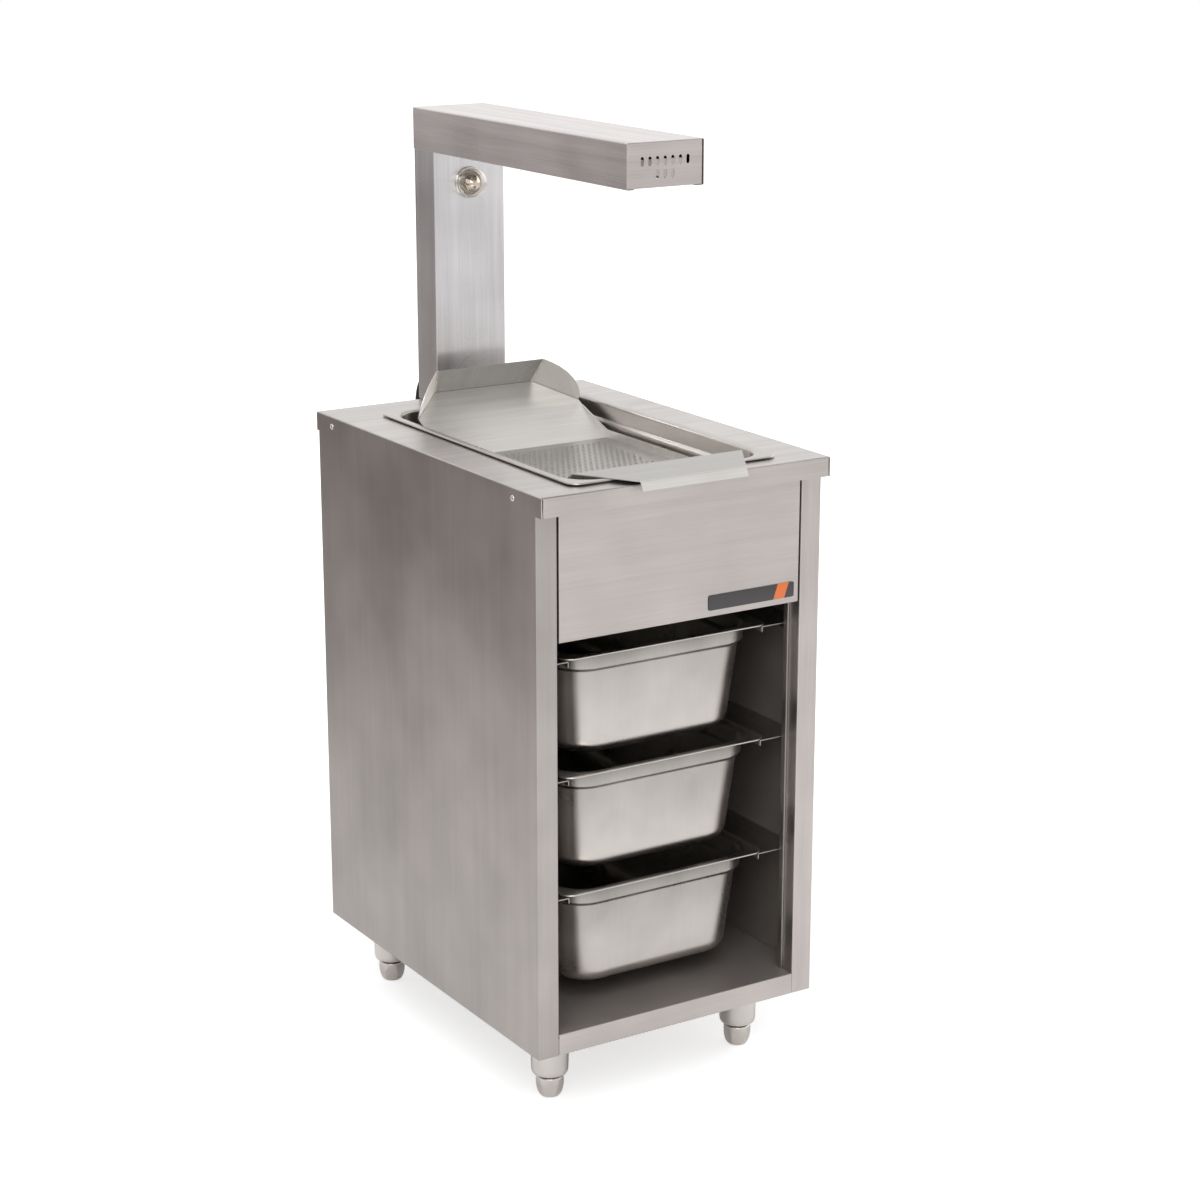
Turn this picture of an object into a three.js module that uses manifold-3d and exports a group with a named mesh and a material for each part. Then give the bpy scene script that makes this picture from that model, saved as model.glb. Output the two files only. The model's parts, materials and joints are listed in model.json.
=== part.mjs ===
// French fry dump station: a stainless cabinet with a dump chute over a top pan,
// three storage pans on runners, and a heated, lit gantry above.
// Millimetres, +Z up, front towards -Y. The origin is on the floor, under the middle
// of everything but the mains lead.
import * as THREE from "three";
import { mergeVertices } from "three/addons/utils/BufferGeometryUtils.js";
import Module from "manifold-3d";

const wasm = await Module();
wasm.setup();

// Shared values
const seam = 0.3; // gap between two pieces that touch
const overrun = 3; // how far a cutting body runs past what it cuts
const sheet = 1.2; // cabinet sheet
const thinSheet = 1; // gantry sheet
const bendRadius = 2; // outside radius of a fold
const bendSteps = 2;

// Worktop
const worktopWidth = 450;
const worktopDepth = 630;
const worktopHeight = 875;
const apronHeight = 27;
const cutoutRim = 10; // worktop under the pan's flange, each side
const cutoutRadius = 42;

// Cabinet
const cabinetBottom = 100;
const frontSetback = 17; // posts behind the worktop's front edge
const postWidth = 32;
const postDepth = 34;
const postLip = 12;
const rearFlange = 20;
const shelfApron = 30;
const fasciaBottom = 675;
const fasciaSideGap = 2.5;
const fasciaReturn = 15;
const channelWidth = 70;
const channelSheet = 1.5;
const badgeWidth = 139;
const badgeHeight = 21;
const badgeThickness = 1;
const badgeCentreX = 111;
const badgeLift = 9; // above the fascia's lower edge
const screwFrontInset = 70;
const screwRearInset = 49;
const screwDrop = 14; // below the worktop's top
const screwHeadRadius = 4.5;
const screwHeadHeight = 2.4;
const screwShankRadius = 2.1;
const screwShankLength = 6;
const screwClearance = 0.4;

// Feet
const footSideInset = 68; // from the worktop's side edge
const frontFootInset = 100; // from the worktop's front edge
const rearFootInset = 65;
const footPlateRadius = 38;
const footPlateThickness = 2.5;
const cupTopRadius = 27.3;
const cupShoulderRadius = 25.6;
const cupShoulderDrop = 58; // plate to the start of the shoulder
const shoulderHeight = 5.7;
const studRadius = 6;
const studClearance = 0.4;
const studLength = 54;
const boreEndGap = 4;
const bulletRadius = 19.3;
const bulletRound = 21; // height over which the tip rounds in
const tipRadius = 9;
const flatsTop = 21.5; // half width across the six flats at the bullet's top
const flatsTip = 15;

// Gastronorm pan
const panWidth = 325;
const panDepth = 150;
const panWall = 0.8;
const flangeWidth = 12.5;
const flangeRadius = 18;
const flangeDrop = 2.6; // turned-down edge of the flange
const seatDrop = 3.9; // flange top to the shoulder that it rests on
const seatWidth = 8;
const mouthRadius = 45;
const bandHeight = 24; // upright band under the flange
const bandDraft = 1;
const shoulderInset = 4;
const shoulderDrop = 4;
const bodyDraft = 7.5;
const bodyRadius = 54;
const floorFillet = 28;

// Storage bay
const panFlangeHeights = [641, 477.5, 311];
const panProud = 5.3; // pan flange in front of the runners
const ledgeBite = 8.5; // ledge under the pan's flange
const runnerSheet = 1.5;
const ledgeLip = 8;
const runnerWallFlange = 22;
const stopHeight = 12;
const stopWidth = 34;

// Top pan, whose length the worktop's depth sets: 530 for a full gastronorm size
const topPanFrontInset = 28; // behind the worktop's front edge
const topPanBackGap = 16; // to the column

// Dump chute
const chuteSlope = THREE.MathUtils.degToRad(28);
const chuteBackLean = THREE.MathUtils.degToRad(33);
const chuteBackWidth = 161; // at the fold
const chuteBackTopWidth = 176;
const chuteBackHeight = 42.5; // fold to top edge
const chuteFoldHeight = 23; // fold above the pan's flange
const chuteFoldInset = 19; // in front of the pan's back
const chuteFloorDrop = 44; // floor below the pan's flange
const chuteWidth = 266;
const cheekReach = 47; // in front of the fold
const cheekCurveShare = 2.5; // power of the top edge's curve
const rampFootInset = 122; // behind the pan's front
const rampHeadInset = 47;
const tongueWidth = 164;
const lipOverhang = 14; // in front of the worktop
const lipLean = 5.5;
const lipDrop = 12.2;
const floorUpstand = 12;

// Gantry
const gantryHeight = 1300;
const hoodWidth = 118;
const hoodHeight = 60;
const hoodFrontInset = 63; // behind the worktop's front edge
const hoodReturn = 12;
const capInset = 1;
const capFlange = 11;
const columnDepth = 56;
const columnReturn = 14;
const columnLift = 2; // column above the worktop
const basePlateThickness = 3;
const baseLugHeight = 30;
const baseLugThickness = 2;
const baseLugInset = 8;
const reflectorSheet = 0.8;
const reflectorFoot = 9;
const reflectorCrown = 68; // width of its flat top
const reflectorRise = 34;
const reflectorBackGap = 8; // to the column
const elementRadius = 4.2;
const elementHeight = 15; // above the hood's lower edge
const elementFrontGap = 19; // to the reflector's front edge
const elementBackGap = 30; // to the column
const holderInset = 12; // from the element's ends
const holderWidth = 20;
const holderLength = 12;
const holderChin = 6; // ceramic below the element's middle
const elementClearance = 0.3;

// Lamp on the column
const lampDrop = 105.5; // below the gantry's top
const globeRadius = 21;
const globeReach = 10.5; // globe's middle in front of the column
const globeWall = 1.6;
const bezelRadius = 22.5;
const bezelThickness = 1.8;
const lampHoleRadius = 16;
const bulbRadius = 12;
const bulbReach = 9; // bulb's middle in front of the column
const bulbCapRadius = 8;
const bulbCapLength = 18;
const holderWall = 5;
const holderDepth = 33;
const holderFlange = 20;
const holderFlangeThickness = 1.8;

// Switch on the column's right side
const switchHeight = 1000;
const switchBezelHeight = 36;
const switchBezelWidth = 21;
const switchBezelThickness = 2;
const switchBodyHeight = 31;
const switchBodyWidth = 17;
const switchBodyDepth = 24;
const rockerWellHeight = 28.4;
const rockerWellWidth = 14.6;
const rockerWellDepth = 17;
const rockerPivotDepth = 8; // behind the bezel's face
const rockerReach = 9;
const rockerHollow = 1.8;
const rockerHalf = 12.2;
const rockerSkirt = 3;
const rockerTailHalf = 8;
const rockerTail = 5;
const rockerTilt = THREE.MathUtils.degToRad(8);

// Mains wiring
const terminalWidth = 40;
const terminalHeight = 26;
const terminalThickness = 18;
const terminalCentreX = 12;
const terminalZ = 985;
const cordRadius = 4;
const cordExitX = -16;
const cordExitZ = 900;
const reliefShankRadius = 7;
const reliefShankLength = 7;
const reliefFlangeRadius = 9.5;
const reliefFlangeThickness = 2.7;
const reliefRootRadius = 8;
const reliefTipRadius = 5.4;
const reliefLength = 30; // outside the cover
const plugLength = 44;
const plugWidth = 32;
const plugThickness = 25;
const plugNeckRadius = 6.5;
const plugNeckLength = 12;
const pinLength = 18;
const pinRadius = 2.2;
const pinSpacing = 19;
const pinRise = 5;

// The lead: points in the part's own frame, from the strain relief to the coil
const cordDrop = [
  [-16, 352.3, 900],
  [-16, 361, 900],
  [-16.4, 373.5, 896.8],
  [-17.2, 384, 889.8],
  [-18.4, 391.5, 879.5],
  [-19.8, 394.5, 866],
  [-21.8, 393.5, 842],
  [-22.6, 390.3, 806],
  [-21.8, 384.5, 748],
  [-19.8, 378.5, 678],
  [-17.2, 374.3, 600],
  [-14, 371, 500],
  [-10.4, 370, 400],
  [-6.2, 371, 300],
  [-1.4, 374, 200],
  [3, 379, 120],
  [6, 385.5, 80],
  [10, 395, 50],
  [17, 409, 26],
  [28, 424.5, 11.5],
  [40, 437.6, 5.8],
  [54, 449.2, 4.5],
  [66, 455.6, 4.3],
  [78, 458, 4.3],
  [86.7, 458, 4.3],
];
const cordTail = [
  [103.3, 458, 12.9],
  [112, 458, 12.9],
  [122, 457, 12.9],
  [132, 454, 12.9],
  [141, 449.5, 12.9],
  [149, 444, 12.9],
];
const coilX = 95;
const coilY = 405.8;
const coilOuterRadius = 52.2;
const coilPitch = 8.6;
const coilTurns = 4;
const coilClimbShare = 1 / 4; // of a turn, before and after the spiral turns back
const coilStepsPerTurn = 24;
const coilSides = 6;
const cordSides = 8;
const cordSpacing = 20; // between two rings of the lead

// Values worked out from the sizes above
const topSurface = worktopHeight;
const halfWidth = worktopWidth / 2;
const halfDepth = worktopDepth / 2;
const frameShift = lipOverhang / 2; // brings the middle of the whole to the origin
const frontFace = frontSetback - halfDepth;
const underWorktop = topSurface - sheet;
const sideOuter = halfWidth - sheet - seam;
const sideInner = sideOuter - sheet;
const sideRear = halfDepth - sheet - seam;
const sideTop = underWorktop - seam;
const backOuter = sideRear - sheet - seam;
const backInner = backOuter - sheet;
const postBack = frontFace + postDepth;
const footX = halfWidth - footSideInset;
const ledgeInner = panWidth / 2 - ledgeBite;
const shelfTop = cabinetBottom + shelfApron;
const frontFootY = frontFootInset - halfDepth;
const rearFootY = halfDepth - rearFootInset;
const footPlateTop = cabinetBottom - seam;
const cupShoulderZ = footPlateTop - footPlateThickness - cupShoulderDrop;
const cupBottom = cupShoulderZ - shoulderHeight;
const bulletTop = cupBottom - seam;
const columnFront = halfDepth - columnDepth;
const topPanRim = topSurface + seam + seatDrop;
const topPanFront = topPanFrontInset - halfDepth;
const topPanBack = columnFront - topPanBackGap;
const panLength = topPanBack - topPanFront;
const topPanCentreY = (topPanFront + topPanBack) / 2;
const storagePanFront = postBack + seam - panProud;
const gantryFront = hoodFrontInset - halfDepth;
const hoodBottom = gantryHeight - hoodHeight;
const hoodInner = hoodWidth / 2 - thinSheet;
const columnHalf = hoodInner - seam;
const coverInner = halfDepth - thinSheet;
const columnBack = coverInner - seam;
const columnBottom = topSurface + columnLift;
const columnTop = gantryHeight - thinSheet - seam;
const lampZ = gantryHeight - lampDrop;
const switchY = columnFront + columnDepth / 2;

// Solids
const roundSegments = 20;
const smallSegments = 12;
const holeSegments = 10;
const mergeTolerance = 1e-4;

function toSolid(geometry) {
  const loose = geometry.index ? geometry.toNonIndexed() : geometry;
  const bare = new THREE.BufferGeometry();
  bare.setAttribute("position", loose.getAttribute("position"));
  const merged = mergeVertices(bare, mergeTolerance);
  const index = merged.index.array;
  const faces = [];
  for (let i = 0; i < index.length; i += 3) {
    const [a, b, c] = [index[i], index[i + 1], index[i + 2]];
    if (a !== b && b !== c && c !== a) faces.push(a, b, c);
  }
  const vertProperties = new Float32Array(merged.getAttribute("position").array);
  const made = (corners) => new wasm.Manifold(new wasm.Mesh({
    numProp: 3, vertProperties, triVerts: new Uint32Array(corners),
  }));
  const solid = made(faces);
  if (solid.volume() > 0) return solid;
  for (let i = 0; i < faces.length; i += 3) [faces[i], faces[i + 1]] = [faces[i + 1], faces[i]];
  return made(faces);
}

function toGeometry(solid) {
  const { numProp, numVert, vertProperties, triVerts } = solid.getMesh();
  const positions = new Float32Array(numVert * 3);
  for (let i = 0; i < numVert; i++) {
    positions.set(vertProperties.subarray(i * numProp, i * numProp + 3), i * 3);
  }
  const indexed = new THREE.BufferGeometry();
  indexed.setAttribute("position", new THREE.BufferAttribute(positions, 3));
  indexed.setIndex(new THREE.BufferAttribute(triVerts, 1));
  const geometry = indexed.toNonIndexed();
  geometry.computeVertexNormals();
  return geometry;
}

// A matrix that sends local u, v, w to three given directions, and the origin to a point.
function placing(u, v, w, origin = [0, 0, 0]) {
  const basis = [u, v, w].map((d) => new THREE.Vector3(...d));
  return new THREE.Matrix4().makeBasis(...basis).setPosition(...origin);
}

const alongX = (x) => placing([0, 1, 0], [0, 0, 1], [1, 0, 0], [x, 0, 0]);
const alongY = (y) => placing([1, 0, 0], [0, 0, 1], [0, -1, 0], [0, y, 0]);
const alongZ = (z) => placing([1, 0, 0], [0, 1, 0], [0, 0, 1], [0, 0, z]);

function prism(points, depth, matrix) {
  const shape = new THREE.Shape(points.map(([u, v]) => new THREE.Vector2(u, v)));
  const geometry = new THREE.ExtrudeGeometry(shape, { depth, bevelEnabled: false, curveSegments: 1 });
  return toSolid(geometry.applyMatrix4(matrix));
}

// Outlines in (y, z), (x, z) and (x, y), between two planes.
const prismX = (points, [low, high]) => prism(points, high - low, alongX(low));
const prismY = (points, [low, high]) => prism(points, high - low, alongY(high));
const prismZ = (points, [low, high]) => prism(points, high - low, alongZ(low));

function block([x0, x1], [y0, y1], [z0, z1]) {
  const geometry = new THREE.BoxGeometry(x1 - x0, y1 - y0, z1 - z0);
  geometry.translate((x0 + x1) / 2, (y0 + y1) / 2, (z0 + z1) / 2);
  return toSolid(geometry);
}

// A turned piece: a profile of (radius, place along the axis), from axis to axis.
function turned(profile, segments, matrix) {
  const points = profile.map(([r, along]) => new THREE.Vector2(r, along));
  const geometry = new THREE.LatheGeometry(points, segments);
  return toSolid(geometry.applyMatrix4(matrix));
}

// Local y, the lathe's axis, laid along Z, Y or X through a point.
const axisZ = (x, y, z = 0) => placing([0, 1, 0], [0, 0, 1], [1, 0, 0], [x, y, z]);
const axisY = (x, y, z) => placing([1, 0, 0], [0, 1, 0], [0, 0, 1], [x, y, z]);
const axisX = (x, y, z) => placing([0, 0, 1], [1, 0, 0], [0, 1, 0], [x, y, z]);

function rod(radius, [low, high], segments, matrix) {
  return turned([[0, low], [radius, low], [radius, high], [0, high]], segments, matrix);
}

function mirroredX(build) {
  return toSolid(toGeometry(build).applyMatrix4(new THREE.Matrix4().makeScale(-1, 1, 1)));
}

// The outline of a folded sheet. The path is one face of it, the other lies a thickness to
// the left. Each fold is an arc with the fold's radius outside and the same centre inside.
function foldedOutline(path, thickness) {
  const points = path.map(([u, v]) => new THREE.Vector2(u, v));
  const left = (d) => new THREE.Vector2(-d.y, d.x);
  const near = [points[0]];
  const directions = points.slice(1).map((p, i) => p.clone().sub(points[i]).normalize());
  const far = [points[0].clone().addScaledVector(left(directions[0]), thickness)];
  for (let i = 1; i < points.length - 1; i++) {
    const [into, out] = [directions[i - 1], directions[i]];
    const turn = Math.atan2(into.cross(out), into.dot(out));
    const nearRadius = turn > 0 ? bendRadius : bendRadius - thickness;
    const farRadius = turn > 0 ? bendRadius - thickness : bendRadius;
    const start = points[i].clone().addScaledVector(into, -nearRadius * Math.tan(Math.abs(turn) / 2));
    const side = left(into).multiplyScalar(Math.sign(turn));
    const centre = start.clone().addScaledVector(side, nearRadius);
    for (let k = 0; k <= bendSteps; k++) {
      const arm = side.clone().negate().rotateAround(new THREE.Vector2(), (turn * k) / bendSteps);
      near.push(centre.clone().addScaledVector(arm, nearRadius));
      far.push(centre.clone().addScaledVector(arm, farRadius));
    }
  }
  const last = points.at(-1);
  near.push(last);
  far.push(last.clone().addScaledVector(left(directions.at(-1)), thickness));
  return [...near, ...far.reverse()].map((p) => [p.x, p.y]);
}

// A ring of points round a rectangle with round corners, at one height.
function ring(halfU, halfV, radius, steps, w, centreU = 0, centreV = 0) {
  const corners = [[1, 1], [-1, 1], [-1, -1], [1, -1]];
  return corners.flatMap(([a, b], quarter) => {
    const points = [];
    for (let k = 0; k <= steps; k++) {
      const angle = ((quarter + (steps ? k / steps : 0)) * Math.PI) / 2;
      const u = a * (halfU - radius) + (steps ? radius * Math.cos(angle) : 0);
      const v = b * (halfV - radius) + (steps ? radius * Math.sin(angle) : 0);
      points.push([centreU + u, centreV + v, w]);
    }
    return points;
  });
}

// One closed surface through rings with the same number of points, closed by flat caps.
function lofted(rings, matrix = new THREE.Matrix4()) {
  const count = rings[0].length;
  const corners = rings.flat();
  const faces = [];
  for (let i = 0; i + 1 < rings.length; i++) {
    for (let k = 0; k < count; k++) {
      const next = (k + 1) % count;
      const [a, b] = [i * count + k, i * count + next];
      faces.push(a, b, b + count, a, b + count, a + count);
    }
  }
  const lastStart = (rings.length - 1) * count;
  for (let k = 1; k + 1 < count; k++) {
    faces.push(0, k + 1, k);
    faces.push(lastStart, lastStart + k, lastStart + k + 1);
  }
  const geometry = new THREE.BufferGeometry();
  geometry.setAttribute("position", new THREE.Float32BufferAttribute(corners.flat(), 3));
  geometry.setIndex(faces);
  return toSolid(geometry.applyMatrix4(matrix));
}

// A sheet with all four edges folded down by a height, its flat face at w = 0.
function foldedTray(halfU, halfV, height, thickness, matrix) {
  const square = (inset, w) => ring(halfU - inset, halfV - inset, 0, 0, w);
  const outerArc = [];
  const innerArc = [];
  for (let k = 0; k <= bendSteps; k++) {
    const angle = (k / bendSteps) * (Math.PI / 2);
    const innerRadius = bendRadius - thickness;
    outerArc.push(square(bendRadius * (1 - Math.cos(angle)), bendRadius * (Math.sin(angle) - 1)));
    innerArc.unshift(square(
      bendRadius - innerRadius * Math.cos(angle),
      innerRadius * Math.sin(angle) - bendRadius,
    ));
  }
  return lofted([
    ...innerArc, square(thickness, -height), square(0, -height), ...outerArc,
  ], matrix);
}

// Materials
const finish = (color, roughness, metalness, more = {}) =>
  new THREE.MeshStandardMaterial({ color, roughness, metalness, ...more });
const looks = {
  brushed: () => finish("#c9c4c1", 0.38, 1),
  panel: () => finish("#9c9591", 0.42, 1),
  pan: () => finish("#cfcac6", 0.3, 1),
  rail: () => finish("#8f8a87", 0.4, 1),
  foot: () => finish("#c4bcb6", 0.32, 1),
  chrome: () => finish("#dcdcdc", 0.12, 1),
  element: () => finish("#6b625c", 0.55, 0.9),
  ceramic: () => finish("#ece7dc", 0.5, 0),
  glass: () => finish("#e9efee", 0.05, 0, { transparent: true, opacity: 0.35 }),
  black: () => finish("#1d1c1d", 0.5, 0),
  badge: () => finish("#3a353a", 0.45, 0.1),
  screw: () => finish("#b8b4b0", 0.3, 1),
};

const station = new THREE.Group();
station.position.y = frameShift;

function addTo(group, name, solid, look) {
  const mesh = new THREE.Mesh(toGeometry(solid), looks[look]());
  mesh.name = name;
  group.add(mesh);
}

const add = (name, solid, look) => addTo(station, name, solid, look);

// Worktop
function worktop() {
  const tray = foldedTray(halfWidth, halfDepth, apronHeight, sheet, alongZ(topSurface));
  const cutoutX = panWidth / 2 - cutoutRim;
  const cutoutY = panLength / 2 - cutoutRim;
  const levels = [underWorktop - overrun, topSurface + overrun];
  const cutout = lofted(levels.map((z) =>
    ring(cutoutX, cutoutY, cutoutRadius, cornerSteps, z, 0, topPanCentreY)));
  return withScrewHoles(tray.subtract(cutout));
}

const cornerSteps = 5;
const screwPlaces = [
  ["front", screwFrontInset - halfDepth],
  ["rear", halfDepth - screwRearInset],
];
const screwZ = topSurface - screwDrop;

function withScrewHoles(solid) {
  const radius = screwShankRadius + screwClearance;
  const reach = halfWidth + overrun;
  return screwPlaces.reduce((cut, [, y]) => {
    const right = rod(radius, [sideInner - overrun, reach], holeSegments, axisX(0, y, screwZ));
    return cut.subtract(right).subtract(mirroredX(right));
  }, solid);
}

function apronScrew(y) {
  const headBase = halfWidth + seam;
  const shankEnd = headBase - screwShankLength;
  return turned([
    [0, shankEnd],
    [screwShankRadius, shankEnd],
    [screwShankRadius, headBase],
    [screwHeadRadius, headBase],
    [screwHeadRadius * domeShare, headBase + screwHeadHeight * domeShare],
    [screwHeadRadius / 2, headBase + screwHeadHeight],
    [0, headBase + screwHeadHeight],
  ], smallSegments, axisX(0, y, screwZ));
}

const domeShare = 0.8;

// Cabinet panels
function sidePanel() {
  const postInner = sideOuter - postWidth;
  const path = [
    [postInner + postLip, postBack],
    [postInner, postBack],
    [postInner, frontFace],
    [sideOuter, frontFace],
    [sideOuter, sideRear],
    [sideOuter - rearFlange, sideRear],
  ];
  return withScrewHoles(prismZ(foldedOutline(path, sheet), [cabinetBottom, sideTop]));
}

function backPanel() {
  const half = sideInner - seam;
  return block([-half, half], [backInner, backOuter], [cabinetBottom, sideTop]);
}

function bottomShelf() {
  const half = sideInner - seam;
  const back = backInner - seam;
  const middle = (frontFace + back) / 2;
  const tray = foldedTray(half, (back - frontFace) / 2, shelfApron, sheet,
    placing([1, 0, 0], [0, 1, 0], [0, 0, 1], [0, middle, shelfTop]));
  const notchX = [sideOuter - postWidth - seam, halfWidth];
  const notchY = [frontFace - overrun, postBack + seam];
  const notch = block(notchX, notchY, [cabinetBottom - overrun, shelfTop + overrun]);
  return tray.subtract(notch).subtract(mirroredX(notch));
}

function frontFascia() {
  const half = sideOuter - postWidth - fasciaSideGap;
  const height = sideTop - fasciaBottom;
  return foldedTray(half, height / 2, fasciaReturn, sheet,
    placing([1, 0, 0], [0, 0, 1], [0, -1, 0], [0, frontFace, fasciaBottom + height / 2]));
}

function footChannel(y) {
  const half = sideInner - seam - sheet - seam;
  const top = shelfTop - sheet - seam;
  const path = [
    [y - channelWidth / 2, top],
    [y - channelWidth / 2, cabinetBottom],
    [y + channelWidth / 2, cabinetBottom],
    [y + channelWidth / 2, top],
  ];
  return prismX(foldedOutline(path, channelSheet), [-half, half]);
}

function badgePlate() {
  const z = fasciaBottom + badgeLift;
  const y = frontFace - seam;
  const x = [badgeCentreX - badgeWidth / 2, badgeCentreX + badgeWidth / 2];
  return block(x, [y - badgeThickness, y], [z, z + badgeHeight]);
}

// Feet
function footSocket(x, y) {
  const plateBottom = footPlateTop - footPlateThickness;
  const boreRadius = studRadius + studClearance;
  const boreTop = bulletTop + studLength + boreEndGap;
  return turned([
    [0, boreTop],
    [boreRadius, boreTop],
    [boreRadius, cupBottom],
    [bulletRadius, cupBottom],
    [(bulletRadius + cupShoulderRadius) / 2, cupBottom + shoulderHeight * shoulderShare],
    [cupShoulderRadius, cupShoulderZ],
    [cupTopRadius, plateBottom],
    [footPlateRadius, plateBottom],
    [footPlateRadius, footPlateTop],
    [0, footPlateTop],
  ], roundSegments, axisZ(x, y));
}

const shoulderShare = 0.3;
const tipShares = [[0.99, 0.62], [0.93, 0.36], [0.78, 0.13]]; // of the bullet's radius and round

function footBullet(x, y) {
  const body = turned([
    [0, 0],
    [tipRadius, 0],
    ...tipShares.map(([r, z]) => [bulletRadius * r, bulletRound * z]).reverse(),
    [bulletRadius, bulletRound],
    [bulletRadius, bulletTop],
    [studRadius, bulletTop],
    [studRadius, bulletTop + studLength],
    [0, bulletTop + studLength],
  ], roundSegments, axisZ(x, y));
  const height = bulletTop + studLength + overrun;
  const spread = (flatsTop - flatsTip) * (height / bulletTop);
  const acrossCorners = 1 / Math.cos(Math.PI / 6);
  const flats = new THREE.CylinderGeometry(
    (flatsTip + spread) * acrossCorners, flatsTip * acrossCorners, height, 6);
  flats.rotateX(Math.PI / 2);
  flats.translate(x, y, height / 2);
  return body.intersect(toSolid(flats));
}

// Gastronorm pan, its flange's top at a height
function pan(centreY, rim) {
  const halfX = panWidth / 2;
  const halfY = panLength / 2;
  const at = (inset, drop, radius) =>
    ring(halfX - inset, halfY - inset, radius, cornerSteps, rim - drop, 0, centreY);
  const mouth = flangeWidth;
  const band = mouth + bandDraft;
  const shoulder = band + shoulderInset;
  const foot = shoulder + bodyDraft;
  const filletTop = panDepth - floorFillet;
  const fillet = (wall) => {
    const rings = [];
    const radius = floorFillet - wall;
    for (let k = 0; k <= filletSteps; k++) {
      const angle = (k / filletSteps) * (Math.PI / 2);
      const inward = radius * (1 - Math.cos(angle));
      const inset = foot + inward;
      const drop = filletTop + radius * Math.sin(angle);
      rings.push(at(inset, drop, bodyRadius - wall - inward));
    }
    return rings;
  };
  const outer = fillet(0).reverse();
  const inner = fillet(panWall).map((points) => points.map(([x, y, z]) => [
    x - Math.sign(x) * panWall, centreY + (y - centreY) - Math.sign(y - centreY) * panWall, z,
  ]));
  return lofted([
    ...outer,
    at(shoulder, bandHeight + shoulderDrop, mouthRadius),
    at(band, bandHeight, mouthRadius),
    at(mouth, seatDrop, mouthRadius),
    at(mouth - seatWidth, seatDrop, mouthRadius),
    at(mouth - seatWidth - panWall, flangeDrop, mouthRadius),
    at(panWall, flangeDrop, flangeRadius - panWall),
    at(0, flangeDrop - panWall, flangeRadius),
    at(0, panWall, flangeRadius),
    at(panWall, 0, flangeRadius - panWall),
    at(mouth - panWall, 0, mouthRadius),
    at(mouth + panWall, panWall + panWall, mouthRadius),
    at(band + panWall, bandHeight, mouthRadius),
    at(shoulder + panWall, bandHeight + shoulderDrop, mouthRadius),
    ...inner,
  ]);
}

const filletSteps = 3;

// Runner on the right wall, its ledge's top at a height
function runner(ledge) {
  const wall = sideInner - seam;
  const path = [
    [wall, ledge - runnerWallFlange],
    [wall, ledge],
    [ledgeInner, ledge],
    [ledgeInner, ledge - ledgeLip],
  ];
  const front = postBack + seam;
  const stopFace = storagePanFront + panLength + seam;
  const rail = prismY(foldedOutline(path, runnerSheet), [front, stopFace + runnerSheet]);
  const stopStart = ledgeInner + bendRadius;
  const stop = block([stopStart, stopStart + stopWidth], [stopFace, stopFace + runnerSheet],
    [ledge - runnerSheet / 2, ledge + stopHeight]);
  return rail.add(stop);
}

// Dump chute
const chuteFoldY = topPanBack - chuteFoldInset;
const chuteFoldZ = topPanRim + chuteFoldHeight;
const cheekReachY = chuteFoldY - cheekReach;
const rampFootY = topPanFront + rampFootInset;
const rampHeadY = topPanFront + rampHeadInset;
const backHalf = chuteBackWidth / 2;
const backTopHalf = chuteBackTopWidth / 2;
const chuteHalf = chuteWidth / 2;
const chuteFloorZ = topPanRim - chuteFloorDrop;
const tongueZ = topPanRim + seam + sheet;
const wallUp = [-Math.sin(chuteBackLean), Math.cos(chuteBackLean)]; // up the back wall, in (y, z)
const slopeDown = [-Math.cos(chuteSlope), -Math.sin(chuteSlope)]; // down the floor, in (y, z)

function floorPath() {
  const run = (chuteFoldZ - chuteFloorZ) / Math.tan(chuteSlope);
  const bendY = lipLean - halfDepth - lipOverhang;
  return [
    [chuteFoldY + seam * slopeDown[0], chuteFoldZ + seam * slopeDown[1]],
    [chuteFoldY - run, chuteFloorZ],
    [rampFootY, chuteFloorZ],
    [rampHeadY, tongueZ],
    [bendY, tongueZ],
    [bendY - lipLean, tongueZ - lipDrop],
  ];
}

function chuteFloor() {
  const path = floorPath();
  const plate = prismX(foldedOutline(path, sheet), [-chuteHalf, chuteHalf]);
  const tongueEnd = -halfDepth - lipOverhang - overrun;
  const right = [
    [backHalf - seam, chuteFoldY + overrun],
    [backHalf - seam, chuteFoldY - seam],
    [chuteHalf, cheekReachY - seam],
    [chuteHalf, rampHeadY],
    [tongueWidth / 2, path[4][0]],
    [tongueWidth / 2, tongueEnd],
  ];
  const left = right.map(([x, y]) => [-x, y]).reverse();
  const outline = prismZ([...right, ...left], [chuteFloorZ - overrun, gantryHeight]);
  const strip = floorEdge(path);
  const cut = plate.intersect(outline);
  return cut.add(strip).add(mirroredX(strip));
}

// The upstand along the floor's side, from the cheek's tip to the head of the ramp.
function floorEdge(path) {
  const tipShare = (chuteFoldY - cheekReachY + floorUpstand) / (chuteFoldY - path[1][0]);
  const tip = [path[0][0], path[0][1]].map((v, i) => v + tipShare * (path[1][i] - v));
  const rampLow = path[2];
  const rampRun = [path[3][0] - rampLow[0], path[3][1] - rampLow[1]];
  const rampEnd = rampLow.map((v, i) => v + rampRun[i] * (1 - floorUpstand / rampRun[1]));
  const low = [tip, path[1], rampLow, rampEnd].map(([y, z]) => [y, z - sheet / 2]);
  const high = [tip, path[1], rampLow, rampEnd].map(([y, z], i) =>
    [y, z + (i === 0 || i === 3 ? sheet : floorUpstand)]);
  return prismX([...low, ...high.reverse()], [chuteHalf - sheet, chuteHalf]);
}

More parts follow.
